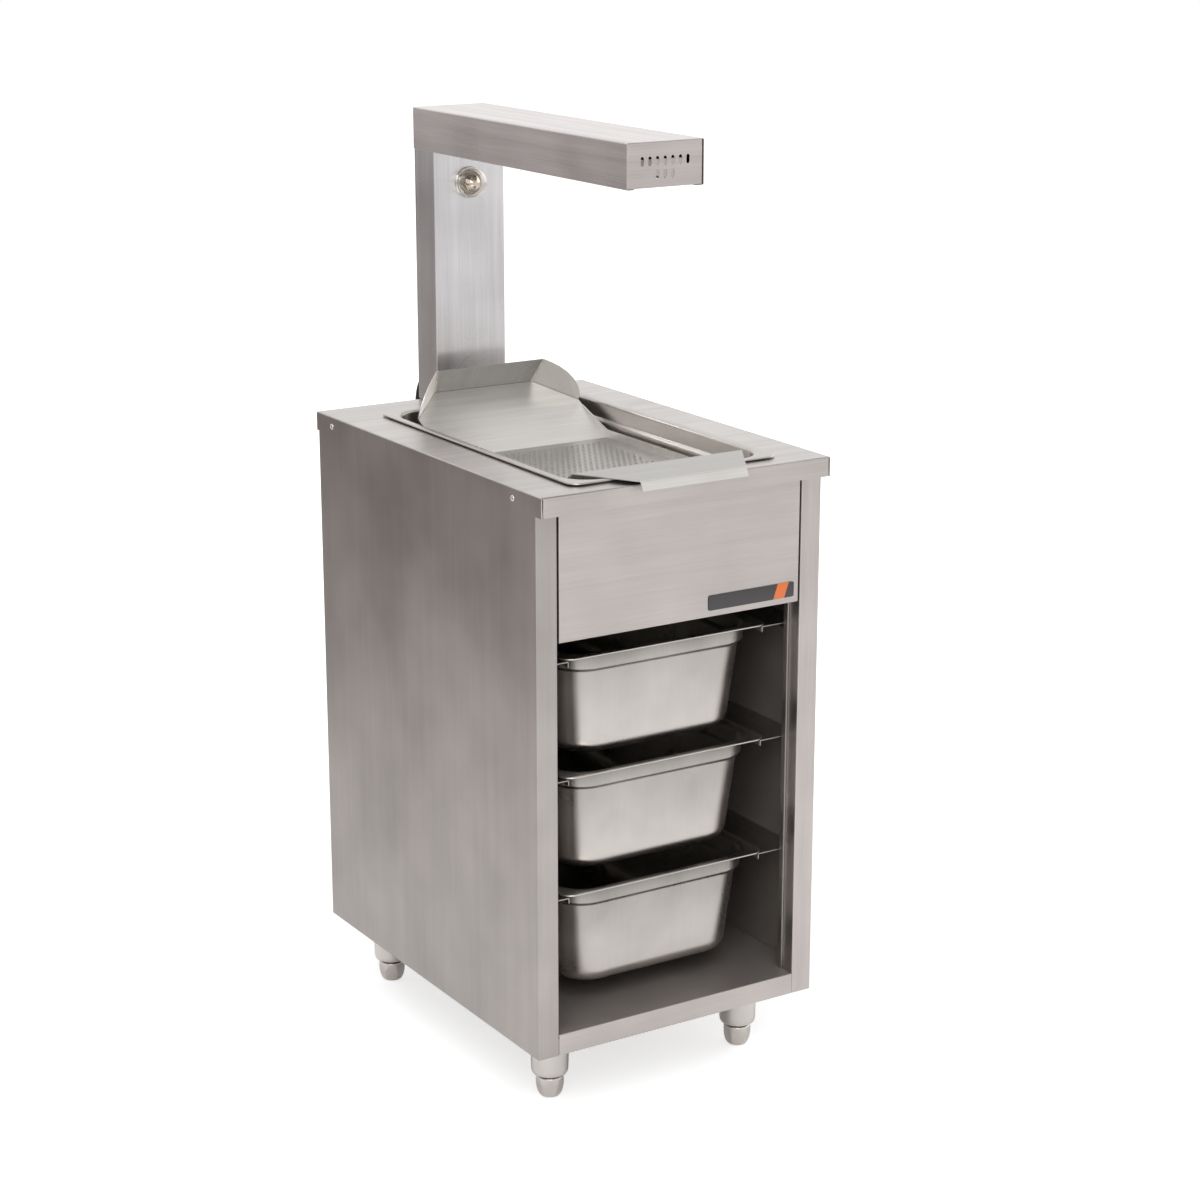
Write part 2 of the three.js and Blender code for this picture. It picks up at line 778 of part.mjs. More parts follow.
function chuteBackWall() {
  const toFlange = (chuteFoldHeight - seam) / Math.cos(chuteBackLean);
  const spread = (backTopHalf - backHalf) / chuteBackHeight;
  const lowHalf = backHalf - spread * toFlange;
  const outline = [
    [-lowHalf, -toFlange],
    [lowHalf, -toFlange],
    [backTopHalf, chuteBackHeight],
    [-backTopHalf, chuteBackHeight],
  ];
  const up = [0, ...wallUp];
  const back = [0, wallUp[1], -wallUp[0]];
  const lower = block([-halfWidth, halfWidth], [0, halfDepth], [0, topPanRim + seam]);
  return prism(outline, sheet, placing([-1, 0, 0], up, back, [0, chuteFoldY, chuteFoldZ]))
    .subtract(lower);
}

// A cheek stands on the line from the fold's end to its tip, and leans out with the back wall.
function chuteCheek() {
  const fold = new THREE.Vector3(backHalf, chuteFoldY, chuteFoldZ);
  const top = new THREE.Vector3(
    backTopHalf,
    chuteFoldY + chuteBackHeight * wallUp[0],
    chuteFoldZ + chuteBackHeight * wallUp[1],
  );
  const tip = new THREE.Vector3(
    chuteHalf, cheekReachY, chuteFoldZ - (chuteFoldY - cheekReachY) * Math.tan(chuteSlope));
  const along = tip.clone().sub(fold);
  const length = along.length();
  along.normalize();
  const seamLine = top.clone().sub(fold);
  const outward = seamLine.clone().cross(along).normalize();
  const up = along.clone().cross(outward).normalize();
  const height = seamLine.dot(up);
  const lean = seamLine.dot(along);
  const edge = [];
  for (let k = 0; k <= cheekSteps; k++) {
    const share = 1 - (1 - k / cheekSteps) ** 2;
    const reach = share * (length - lean - seam);
    edge.push([lean + seam + reach, height * Math.sqrt(1 - share ** cheekCurveShare)]);
  }
  const outline = [[seam, -sheet], [length, -sheet], ...edge.reverse(), [seam, 0]];
  const turn = new THREE.Matrix4().makeBasis(along, up, outward);
  turn.setPosition(fold.addScaledVector(outward, outward.x > 0 ? seam : -seam - sheet));
  return prism(outline, sheet, turn);
}

const cheekSteps = 10;

// Gantry
function columnShell() {
  const path = [
    [columnReturn - columnHalf, columnBack],
    [-columnHalf, columnBack],
    [-columnHalf, columnFront],
    [columnHalf, columnFront],
    [columnHalf, columnBack],
    [columnHalf - columnReturn, columnBack],
  ];
  const shell = prismZ(foldedOutline(path, thinSheet), [columnBottom, columnTop]);
  const lampHole = rod(lampHoleRadius, [columnFront - overrun, columnFront + overrun],
    roundSegments, axisY(0, 0, lampZ));
  const switchHole = block([columnHalf - overrun, columnHalf + overrun],
    centred(switchY, switchBodyWidth + seam * 2), centred(switchHeight, switchBodyHeight + seam * 2));
  return shell.subtract(lampHole).subtract(switchHole);
}

const centred = (middle, size) => [middle - size / 2, middle + size / 2];

function columnBackCover() {
  const plate = block([-columnHalf, columnHalf], [coverInner, halfDepth], [columnBottom, columnTop]);
  const hole = rod(reliefShankRadius + seam, [coverInner - overrun, halfDepth + overrun],
    smallSegments, axisY(cordExitX, 0, cordExitZ));
  return plate.subtract(hole);
}

function columnBase() {
  const half = columnHalf - thinSheet - seam;
  const depth = [columnFront + thinSheet + seam, columnBack - thinSheet - seam];
  const bottom = topSurface + seam;
  const plate = block([-half, half], depth, [bottom, bottom + basePlateThickness]);
  const lug = block([half - baseLugThickness, half],
    [depth[0] + baseLugInset, depth[1] - baseLugInset], [bottom, bottom + baseLugHeight]);
  return plate.add(lug).add(mirroredX(lug));
}

function hoodShell() {
  const half = hoodWidth / 2;
  const path = [
    [half - hoodReturn, hoodBottom],
    [half, hoodBottom],
    [half, gantryHeight],
    [-half, gantryHeight],
    [-half, hoodBottom],
    [hoodReturn - half, hoodBottom],
  ];
  const shell = prismY(foldedOutline(path, thinSheet), [gantryFront, halfDepth]);
  const sleeve = block([-hoodInner, hoodInner], [columnFront - seam, halfDepth + overrun],
    [hoodBottom - overrun, hoodBottom + hoodReturn]);
  return shell.subtract(sleeve);
}

function hoodEndCap() {
  const front = gantryFront + capInset;
  const path = [
    [-columnHalf, front + capFlange],
    [-columnHalf, front],
    [columnHalf, front],
    [columnHalf, front + capFlange],
  ];
  const bottom = hoodBottom + thinSheet + seam;
  return prismZ(foldedOutline(path, thinSheet), [bottom, columnTop]);
}

const reflectorSeat = hoodBottom + thinSheet + seam;
const reflectorFront = gantryFront + capInset + capFlange + seam;

function hoodReflector() {
  const outer = hoodInner - seam;
  const foot = outer - reflectorFoot;
  const crown = reflectorSeat + reflectorRise;
  const path = [
    [-outer, reflectorSeat],
    [-foot, reflectorSeat],
    [-reflectorCrown / 2, crown],
    [reflectorCrown / 2, crown],
    [foot, reflectorSeat],
    [outer, reflectorSeat],
  ];
  return prismY(foldedOutline(path, reflectorSheet), [reflectorFront, columnFront - reflectorBackGap]);
}

const elementZ = hoodBottom + elementHeight;
const elementEnds = [reflectorFront + elementFrontGap, columnFront - elementBackGap];

function heaterElement() {
  return rod(elementRadius, elementEnds, smallSegments, axisY(0, 0, elementZ));
}

function elementHolder(y) {
  const top = reflectorSeat + reflectorRise - seam;
  const body = block(centred(0, holderWidth), centred(y, holderLength),
    [elementZ - elementRadius - holderChin, top]);
  return body.subtract(rod(elementRadius + elementClearance,
    [y - holderLength, y + holderLength], smallSegments, axisY(0, 0, elementZ)));
}

// Lamp, its axis along Y, each profile as (radius, distance in front of the column)
const inFront = placing([1, 0, 0], [0, -1, 0], [0, 0, -1], [0, columnFront, lampZ]);

function lampBezel() {
  const inner = Math.sqrt(globeRadius ** 2 - (globeReach - bezelThickness) ** 2) + seam;
  const chamfer = bezelThickness / 3;
  return turned([
    [inner, seam],
    [bezelRadius, seam],
    [bezelRadius, bezelThickness - chamfer],
    [bezelRadius - chamfer, bezelThickness],
    [inner, bezelThickness],
    [inner, seam],
  ], roundSegments, inFront);
}

// Arc of a ball from a plane in front of the column to the ball's foremost point
function ballArc(radius, middle, plane) {
  const first = Math.asin((plane - middle) / radius);
  const points = [];
  for (let k = 0; k <= globeSteps; k++) {
    const angle = first + (k / globeSteps) * (Math.PI / 2 - first);
    points.push([k === globeSteps ? 0 : radius * Math.cos(angle), middle + radius * Math.sin(angle)]);
  }
  return points;
}

const globeSteps = 7;

function lampGlobe() {
  return turned([
    ...ballArc(globeRadius - globeWall, globeReach, seam).reverse(),
    ...ballArc(globeRadius, globeReach, seam),
  ], roundSegments, inFront);
}

function lampBulb() {
  const neck = bulbReach - Math.sqrt(bulbRadius ** 2 - bulbCapRadius ** 2);
  return turned([
    [0, -bulbCapLength],
    [bulbCapRadius, -bulbCapLength],
    ...ballArc(bulbRadius, bulbReach, neck),
  ], smallSegments, inFront);
}

function lampHolder() {
  const face = -thinSheet - seam;
  const bore = bulbCapRadius + seam;
  return turned([
    [bore, face],
    [holderFlange, face],
    [holderFlange, face - holderFlangeThickness],
    [bore + holderWall, face - holderFlangeThickness],
    [bore + holderWall, face - holderDepth],
    [0, face - holderDepth],
    [0, -bulbCapLength - seam],
    [bore, -bulbCapLength - seam],
    [bore, face],
  ], smallSegments, inFront);
}

// Switch
const bezelFace = columnHalf + seam + switchBezelThickness;
const rockerPivotX = bezelFace - rockerPivotDepth;

function switchHousing() {
  const bezel = block([columnHalf + seam, bezelFace], centred(switchY, switchBezelWidth),
    centred(switchHeight, switchBezelHeight));
  const body = block([columnHalf - switchBodyDepth, columnHalf + seam + switchBezelThickness / 2],
    centred(switchY, switchBodyWidth), centred(switchHeight, switchBodyHeight));
  const well = block([bezelFace - rockerWellDepth, bezelFace + overrun],
    centred(switchY, rockerWellWidth), centred(switchHeight, rockerWellHeight));
  return bezel.add(body).subtract(well);
}

function rockerButton() {
  const half = [
    [-rockerTail, rockerTailHalf],
    [rockerSkirt, rockerHalf],
    [rockerReach, rockerHalf],
  ];
  const outline = [
    ...half,
    [rockerReach - rockerHollow, 0],
    ...half.map(([u, v]) => [u, -v]).reverse(),
  ];
  const pivot = new THREE.Vector2();
  const tilted = outline.map(([u, v]) => new THREE.Vector2(u, v).rotateAround(pivot, rockerTilt));
  const width = rockerWellWidth - seam * 2;
  return prismY(tilted.map((p) => [rockerPivotX + p.x, switchHeight + p.y]), centred(switchY, width));
}

// Mains wiring
function terminalBlock() {
  return block(centred(terminalCentreX, terminalWidth),
    [coverInner - seam - terminalThickness, coverInner - seam], centred(terminalZ, terminalHeight));
}

function strainRelief() {
  const face = halfDepth + seam;
  const flangeEnd = face + reliefFlangeThickness;
  return turned([
    [0, face - reliefShankLength],
    [reliefShankRadius, face - reliefShankLength],
    [reliefShankRadius, face],
    [reliefFlangeRadius, face],
    [reliefFlangeRadius, flangeEnd],
    [reliefRootRadius, flangeEnd],
    [reliefTipRadius, halfDepth + reliefLength],
    [0, halfDepth + reliefLength],
  ], smallSegments, axisY(cordExitX, 0, cordExitZ));
}

// A stretch of the lead through hand-chosen points.
function leadStretch(points) {
  const curve = new THREE.CatmullRomCurve3(points.map((p) => new THREE.Vector3(...p)));
  const section = new THREE.Shape();
  for (let k = 0; k < cordSides; k++) {
    const angle = (k / cordSides) * Math.PI * 2;
    const corner = [cordRadius * Math.cos(angle), cordRadius * Math.sin(angle)];
    if (k === 0) section.moveTo(...corner);
    else section.lineTo(...corner);
  }
  const steps = Math.ceil(curve.getLength() / cordSpacing);
  return toSolid(new THREE.ExtrudeGeometry(section, { steps, extrudePath: curve }));
}

// The coil: it spirals in on the floor, climbs a layer in the half turn where it turns back,
// and spirals out on top of itself. Both ends run straight for a diameter.
function coilPoints() {
  const points = [];
  const steps = coilTurns * coilStepsPerTurn;
  const half = coilTurns / 2;
  const floorZ = cordDrop.at(-1)[2];
  for (let k = 0; k <= steps; k++) {
    const turns = k / coilStepsPerTurn;
    const angle = Math.PI / 2 - turns * Math.PI * 2;
    const fromEnd = Math.min(turns, coilTurns - turns);
    const radius = coilOuterRadius - coilPitch * fromEnd;
    const climb = THREE.MathUtils.smoothstep(turns, half - coilClimbShare, half + coilClimbShare);
    points.push(new THREE.Vector3(
      coilX + radius * Math.cos(angle),
      coilY + radius * Math.sin(angle),
      floorZ + coilPitch * climb,
    ));
  }
  const diameter = cordRadius * 2;
  const start = points[0].clone();
  start.x -= diameter;
  const end = points.at(-1).clone();
  end.x += diameter;
  return [start, ...points, end];
}

function leastGap(points, skip) {
  let least = Infinity;
  for (let i = 0; i < points.length; i++) {
    for (let j = i + skip; j < points.length; j++) {
      least = Math.min(least, points[i].distanceTo(points[j]));
    }
  }
  return least - cordRadius * 2;
}

function coil() {
  const points = coilPoints();
  const rings = points.map((p, i) => {
    const before = points[Math.max(i - 1, 0)];
    const after = points[Math.min(i + 1, points.length - 1)];
    const forward = after.clone().sub(before).normalize();
    const side = new THREE.Vector3(0, 0, 1).cross(forward).normalize();
    const up = forward.clone().cross(side);
    const corners = [];
    for (let k = 0; k < coilSides; k++) {
      const angle = (k / coilSides) * Math.PI * 2;
      const corner = p.clone().addScaledVector(side, cordRadius * Math.cos(angle));
      corners.push(corner.addScaledVector(up, cordRadius * Math.sin(angle)).toArray());
    }
    return corners;
  });
  const gap = leastGap(points, coilStepsPerTurn / 2);
  console.log("least gap of the coil to itself: " + gap.toFixed(2) + " mm");
  return lofted(rings);
}

// The plug: a moulded body with a neck where the lead enters, and three pins.
function plug() {
  const [end, before] = [cordTail.at(-1), cordTail.at(-2)].map((p) => new THREE.Vector3(...p));
  const forward = end.clone().sub(before).normalize();
  const side = new THREE.Vector3(0, 0, 1).cross(forward).normalize();
  const up = forward.clone().cross(side);
  const turn = new THREE.Matrix4().makeBasis(side, up, forward);
  turn.setPosition(end.addScaledVector(forward, seam));
  const halves = [
    [plugNeckRadius, plugNeckRadius, 0],
    [plugNeckRadius, plugNeckRadius, plugNeckLength],
    [plugWidth / 2, plugThickness / 2, plugNeckLength + plugNeckRadius],
    [plugWidth / 2, plugThickness / 2, plugLength],
  ];
  const body = lofted(halves.map(([u, v, w]) => ring(u, v, plugNeckRadius * plugRoundShare, 2, w)), turn);
  const pinPlaces = [[-pinSpacing / 2, -pinRise / 2], [pinSpacing / 2, -pinRise / 2], [0, pinRise]];
  return pinPlaces.reduce((solid, [u, v]) => {
    const lying = placing([1, 0, 0], [0, 0, 1], [0, -1, 0], [u, v, 0]);
    const place = turn.clone().multiply(lying);
    const ends = [plugLength - overrun, plugLength + pinLength];
    return solid.add(rod(pinRadius, ends, pinSegments, place));
  }, body);
}

const plugRoundShare = 0.9;
const pinSegments = 8;

// The assembly
add("worktop", worktop(), "brushed");
add("right_side_panel", sidePanel(), "panel");
add("left_side_panel", mirroredX(sidePanel()), "panel");
add("back_panel", backPanel(), "panel");
add("bottom_shelf", bottomShelf(), "panel");
add("front_fascia", frontFascia(), "brushed");
add("front_channel", footChannel(frontFootY), "rail");
add("rear_channel", footChannel(rearFootY), "rail");
add("badge_plate", badgePlate(), "badge");

for (const [place, y] of screwPlaces) {
  add("apron_screw_right_" + place, apronScrew(y), "screw");
  add("apron_screw_left_" + place, mirroredX(apronScrew(y)), "screw");
}

for (const [row, y] of [["front", frontFootY], ["rear", rearFootY]]) {
  for (const [side, x] of [["left", -footX], ["right", footX]]) {
    add("foot_socket_" + row + "_" + side, footSocket(x, y), "foot");
    add("foot_bullet_" + row + "_" + side, footBullet(x, y), "foot");
  }
}

panFlangeHeights.forEach((rim, i) => {
  const ledge = rim - seatDrop - seam;
  add("pan_runner_right_" + (i + 1), runner(ledge), "rail");
  add("pan_runner_left_" + (i + 1), mirroredX(runner(ledge)), "rail");
  add("storage_pan_" + (i + 1), pan(storagePanFront + panLength / 2, rim), "pan");
});

add("top_pan", pan(topPanCentreY, topPanRim), "pan");
add("chute_floor", chuteFloor(), "brushed");
add("chute_back_wall", chuteBackWall(), "brushed");
add("chute_cheek_right", chuteCheek(), "brushed");
add("chute_cheek_left", mirroredX(chuteCheek()), "brushed");

add("column_shell", columnShell(), "brushed");
add("column_back_cover", columnBackCover(), "panel");
add("column_base", columnBase(), "rail");
add("hood_shell", hoodShell(), "brushed");
add("hood_end_cap", hoodEndCap(), "brushed");
add("hood_reflector", hoodReflector(), "chrome");
add("heater_element", heaterElement(), "element");
add("element_holder_front", elementHolder(elementEnds[0] + holderInset), "ceramic");
add("element_holder_rear", elementHolder(elementEnds[1] - holderInset), "ceramic");

add("lamp_bezel", lampBezel(), "chrome");
add("lamp_globe", lampGlobe(), "glass");
add("lamp_bulb", lampBulb(), "glass");
add("lamp_holder", lampHolder(), "ceramic");
add("switch_housing", switchHousing(), "black");
add("rocker_button", rockerButton(), "black");
add("terminal_block", terminalBlock(), "ceramic");
add("strain_relief", strainRelief(), "black");

const object = new THREE.Group();
object.add(station);
addTo(object, "cord_drop", leadStretch(cordDrop), "black");
addTo(object, "cord_coil", coil(), "black");
addTo(object, "cord_tail", leadStretch(cordTail), "black");
addTo(object, "plug", plug(), "black");

export default object;
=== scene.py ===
"""French fry dump station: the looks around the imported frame.

Metres, +Z up, front towards -Y, the origin on the floor under the middle of the cabinet. Profiles, routes and
constants are in millimetres, apart from the studio's and where a comment says metres.
"""
import json
import math

import bmesh
import bpy
import numpy as np
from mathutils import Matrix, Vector


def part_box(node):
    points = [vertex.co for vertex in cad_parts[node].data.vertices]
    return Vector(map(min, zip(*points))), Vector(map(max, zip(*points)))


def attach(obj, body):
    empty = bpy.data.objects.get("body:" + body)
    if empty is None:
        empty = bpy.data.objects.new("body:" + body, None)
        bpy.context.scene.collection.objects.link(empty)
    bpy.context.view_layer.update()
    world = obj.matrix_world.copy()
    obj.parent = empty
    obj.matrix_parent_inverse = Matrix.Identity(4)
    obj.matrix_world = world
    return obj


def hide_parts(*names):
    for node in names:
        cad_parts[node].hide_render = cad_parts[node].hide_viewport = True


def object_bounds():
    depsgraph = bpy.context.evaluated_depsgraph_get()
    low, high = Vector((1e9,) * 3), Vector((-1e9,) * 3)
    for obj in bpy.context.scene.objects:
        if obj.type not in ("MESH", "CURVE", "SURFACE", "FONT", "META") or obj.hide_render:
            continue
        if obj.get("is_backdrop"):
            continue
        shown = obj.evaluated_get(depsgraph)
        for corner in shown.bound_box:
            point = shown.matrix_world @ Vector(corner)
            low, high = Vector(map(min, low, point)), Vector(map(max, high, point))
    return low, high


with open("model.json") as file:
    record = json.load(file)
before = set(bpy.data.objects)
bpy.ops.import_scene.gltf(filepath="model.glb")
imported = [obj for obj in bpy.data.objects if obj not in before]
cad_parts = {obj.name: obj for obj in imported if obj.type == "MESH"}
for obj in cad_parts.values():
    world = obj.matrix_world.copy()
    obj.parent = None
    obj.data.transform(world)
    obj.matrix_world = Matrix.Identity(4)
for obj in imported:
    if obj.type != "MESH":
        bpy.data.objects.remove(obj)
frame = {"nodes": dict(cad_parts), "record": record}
cad_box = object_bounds()

MM = 0.001
X, Y, Z = 0, 1, 2
SIDES = (("right", 1), ("left", -1))
NODES = frame["nodes"]
BODY_OF = {
    node: body
    for body, members in frame["record"]["behaviour"]["bodies"].items()
    for node in members
}


def link(data, name=None):
    """Puts an object that holds the data, and has its name or another, into the scene, at the origin."""
    item = bpy.data.objects.new(name or data.name, data)
    bpy.context.scene.collection.objects.link(item)
    return item


def box_mm(node):
    """A CAD node's lowest corner, highest corner, middle and size, in millimetres."""
    low, high = (np.array(corner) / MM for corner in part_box(node))
    return low, high, (low + high) / 2, high - low


def linear(code):
    """An sRGB hex colour such as C8C4C0 as linear red, green, blue and alpha."""
    channels = [int(code[k:k + 2], 16) / 255 for k in (0, 2, 4)]
    return [c / 12.92 if c <= 0.04045 else ((c + 0.055) / 1.055) ** 2.4 for c in channels] + [1.0]


# Camera: its place in metres, its turns in radians
CAMERA_PLACE = (-1.89674, -3.11521, 1.66653)
CAMERA_YAW = 0.55966
CAMERA_PITCH = -0.27547
CAMERA_LENS = 80.659
CAMERA_SENSOR = 36


def studio_camera():
    camera = bpy.data.cameras.new("studio_camera")
    camera.lens = CAMERA_LENS
    camera.sensor_width = CAMERA_SENSOR
    item = link(camera)
    item.location = CAMERA_PLACE
    item.rotation_euler = (math.pi / 2 + CAMERA_PITCH, 0, -CAMERA_YAW)
    bpy.context.scene.camera = item


studio_camera()

# Mains lead: the points of its two free stretches, and the coil between them
LEAD_DROP = [
    (-16, 352.3, 900), (-16, 361, 900), (-16.4, 373.5, 896.8), (-17.2, 384, 889.8),
    (-18.4, 391.5, 879.5), (-19.8, 394.5, 866), (-21.8, 393.5, 842), (-22.6, 390.3, 806),
    (-21.8, 384.5, 748), (-19.8, 378.5, 678), (-17.2, 374.3, 600), (-14, 371, 500),
    (-10.4, 370, 400), (-6.2, 371, 300), (-1.4, 374, 200), (3, 379, 120),
    (6, 385.5, 80), (10, 395, 50), (17, 409, 26), (28, 424.5, 11.5),
    (40, 437.6, 5.8), (54, 449.2, 4.5), (66, 455.6, 4.3), (78, 458, 4.3), (86.7, 458, 4.3),
]
LEAD_TAIL = [
    (103.3, 458, 12.9), (112, 458, 12.9), (122, 457, 12.9),
    (132, 454, 12.9), (141, 449.5, 12.9), (149, 444, 12.9),
]
LEAD_DIAMETER = 8
LEAD_FLOOR = 4.3
COIL_MIDDLE = (95, 405.8)
COIL_RADIUS = 52.2
COIL_PITCH = 8.6
COIL_TURNS = 4
COIL_STEPS = 20  # a turn
COIL_CLIMB = 0.25  # turns each side of the middle


def coil_route():
    """Clockwise turns about the coil's middle: the radius falls a pitch a turn to the middle turn and grows
    again, and the height rises one pitch, smoothly, in the half turn about the middle."""
    turns = np.arange(COIL_TURNS * COIL_STEPS + 1) / COIL_STEPS
    angle = math.pi / 2 - turns * 2 * math.pi
    radius = COIL_RADIUS - COIL_PITCH * np.minimum(turns, COIL_TURNS - turns)
    share = np.clip((turns - COIL_TURNS / 2 + COIL_CLIMB) / (2 * COIL_CLIMB), 0, 1)
    height = LEAD_FLOOR + COIL_PITCH * share * share * (3 - 2 * share)
    return np.stack([
        COIL_MIDDLE[0] + radius * np.cos(angle), COIL_MIDDLE[1] + radius * np.sin(angle), height], axis=1)


LEAD_ROUTE = np.concatenate([LEAD_DROP, coil_route(), LEAD_TAIL])


def mains_lead():
    """One curve through all the points, with a round section."""
    curve = bpy.data.curves.new("mains_lead", "CURVE")
    curve.dimensions = "3D"
    curve.resolution_u = curve.render_resolution_u = 6
    curve.bevel_depth = LEAD_DIAMETER / 2 * MM
    curve.bevel_resolution = 5
    curve.use_fill_caps = True
    spline = curve.splines.new("BEZIER")
    spline.bezier_points.add(len(LEAD_ROUTE) - 1)
    spline.bezier_points.foreach_set("co", (LEAD_ROUTE * MM).ravel())
    for point in spline.bezier_points:
        point.handle_left_type = point.handle_right_type = "AUTO"
    return link(curve)


lead = mains_lead()

# Meshes: distances in metres, angles in degrees
DOUBLES = 1e-6
DEGENERATE = 1e-7
FLAT_ANGLE = 0.6
SHEET_EASE = 0.3 * MM
THIN_EASE = 0.25 * MM


def read(items, name, width=1, kind=np.float32):
    """One property of all of a mesh's items, with a row an item where it has several numbers."""
    values = np.empty(len(items) * width, kind)
    items.foreach_get(name, values)
    return values.reshape(-1, width) if width > 1 else values


def rolling_map(mesh, along):
    """The UV map "grain", in metres: on each face U runs along the sheet's rolling direction and V across
    it. A face that the direction meets end on carries the grain on over the fold."""
    points = read(mesh.vertices, "co", 3)[read(mesh.loops, "vertex_index", kind=np.int32)]
    corners = read(mesh.polygons, "loop_total", kind=np.int32)
    facing = np.repeat(np.abs(read(mesh.polygons, "normal", 3)).argmax(axis=1), corners)
    u_axis = np.where(facing == along, Z if along != Z else X, along)
    v_axis = X + Y + Z - facing - u_axis
    rows = np.arange(len(points))
    grain = np.stack([points[rows, u_axis], points[rows, v_axis]], axis=1)
    layer = mesh.uv_layers.get("grain") or mesh.uv_layers.new(name="grain")
    layer.data.foreach_set("uv", grain.ravel())


def merged(mesh):
    """Joins the mesh's doubles and turns its faces outwards."""
    shell = bmesh.new()
    shell.from_mesh(mesh)
    bmesh.ops.remove_doubles(shell, verts=shell.verts, dist=DOUBLES)
    bmesh.ops.dissolve_degenerate(shell, edges=shell.edges, dist=DEGENERATE)
    bmesh.ops.recalc_face_normals(shell, faces=shell.faces)
    shell.to_mesh(mesh)
    shell.free()


def eased_edges(piece, width, sharp=48):
    """Breaks the piece's sharp edges with a small round, and shades its folds and flats evenly."""
    piece.data.shade_smooth()
    piece.data.set_sharp_from_angle(angle=math.radians(sharp))
    bevel = piece.modifiers.new("eased_edges", "BEVEL")
    bevel.width = width
    bevel.segments = 2
    bevel.limit_method = "ANGLE"
    bevel.angle_limit = math.radians(sharp)
    bevel.miter_outer = "MITER_ARC"
    bevel.harden_normals = False
    even = piece.modifiers.new("even_flats", "WEIGHTED_NORMAL")
    even.keep_sharp = False
    even.weight = 80


def sheet_copy(node, along, ease=SHEET_EASE, name=None):
    """The CAD sheet with its triangles merged into whole faces, a grain map and eased edges."""
    mesh = NODES[node].data.copy()
    mesh.materials.clear()
    shell = bmesh.new()
    shell.from_mesh(mesh)
    bmesh.ops.remove_doubles(shell, verts=shell.verts, dist=DOUBLES)
    bmesh.ops.dissolve_limit(
        shell, angle_limit=math.radians(FLAT_ANGLE), use_dissolve_boundaries=False,
        verts=shell.verts, edges=shell.edges, delimit={"NORMAL"})
    shell.to_mesh(mesh)
    shell.free()
    rolling_map(mesh, along)
    piece = link(mesh, name or node + "_sheet")
    eased_edges(piece, ease)
    return piece


def crisp(mesh, sharp):
    """Puts a smooth mesh into the scene with its edges over the angle kept sharp."""
    mesh.set_sharp_from_angle(angle=math.radians(sharp))
    return link(mesh)


def skin(name, points, ends=True, tone=None):
    """A mesh of a grid of points (row, column, xyz) whose columns close on themselves: each square between
    neighbours is a face. A row drawn into one point becomes a pole, and flat faces close the end rows. The
    tone, one number a row, becomes the attribute that a material shades it by."""
    rows, columns = points.shape[:2]
    row = np.arange(rows - 1)[:, None]
    column = np.arange(columns)[None, :]
    right = (column + 1) % columns
    squares = np.stack([
        row * columns + column, row * columns + right,
        (row + 1) * columns + right, (row + 1) * columns + column,
    ], axis=-1).reshape(-1, 4).tolist()
    if ends:
        squares.append(list(range(columns))[::-1])
        squares.append(list(range((rows - 1) * columns, rows * columns)))
    mesh = bpy.data.meshes.new(name)
    mesh.from_pydata(points.reshape(-1, 3).tolist(), [], squares)
    if tone is not None:
        layer = mesh.attributes.new("tone", "FLOAT", "POINT")
        layer.data.foreach_set("value", np.repeat(tone, columns).astype(np.float32))
    merged(mesh)
    mesh.shade_smooth()
    return mesh


def softened(profile, radius, steps=4):
    """A profile with its inner corners rounded: each corner gives way to a curve of the second degree that
    starts and ends the radius, or almost half the side, away from it."""
    profile = np.asarray(profile, float)
    corner, before, after = profile[1:-1], profile[:-2], profile[2:]
    reach = np.broadcast_to(radius, len(corner))[:, None]

    def cut_towards(other):
        side = other - corner
        length = np.linalg.norm(side[:, :2], axis=1, keepdims=True)
        return corner + side * np.minimum(reach / np.maximum(length, 1e-9), 0.48)

    start, stop = cut_towards(before)[:, None], cut_towards(after)[:, None]
    t = np.linspace(0, 1, steps)[None, :, None]
    rounds = start * (1 - t) ** 2 + 2 * corner[:, None] * t * (1 - t) + stop * t ** 2
    return np.concatenate([profile[:1], rounds.reshape(-1, profile.shape[1]), profile[-1:]])


def even_angles(steps):
    """Angles a step apart, once round."""
    return np.arange(steps) / steps * 2 * math.pi


def circle(steps, side, up):
    """Points round a circle of radius 1: the cosine along one direction plus the sine along the other."""
    angle = even_angles(steps)
    return np.cos(angle)[:, None] * np.asarray(side) + np.sin(angle)[:, None] * np.asarray(up)


def revolved(profile, origin, way, ring):
    """The profile's radius times the ring's directions, plus its height along the way, from the origin."""
    return (np.asarray(origin) + profile[:, 0, None, None] * ring[None]
            + profile[:, 1, None, None] * np.asarray(way, float))


def turned(name, profile, origin, axis, steps, sharp=50):
    """A surface of revolution: the profile's (radius, height) carried round an axis from the origin."""
    way = np.asarray(axis, float)
    across = np.cross(way, [0.0, 0.0, 1.0] if abs(way[2]) < 0.5 else [1.0, 0.0, 0.0])
    across /= np.linalg.norm(across)
    points = revolved(np.asarray(profile), origin, way, circle(steps, across, np.cross(way, across)))
    return crisp(skin(name, points * MM, ends=False), sharp)


def round_rectangle(half_x, half_y, radius, steps):
    """Points anticlockwise round a rectangle with round corners, for arrays of half sizes and radii:
    the corner's middle plus the radius times the direction, over four quarter turns."""
    angle = (np.arange(4 * steps) // steps + np.tile(np.linspace(0, 1, steps), 4)) * math.pi / 2
    sign_x = np.repeat([1, -1, -1, 1], steps)
    sign_y = np.repeat([1, 1, -1, -1], steps)
    x = sign_x * (half_x - radius)[:, None] + radius[:, None] * np.cos(angle)
    y = sign_y * (half_y - radius)[:, None] + radius[:, None] * np.sin(angle)
    return x, y


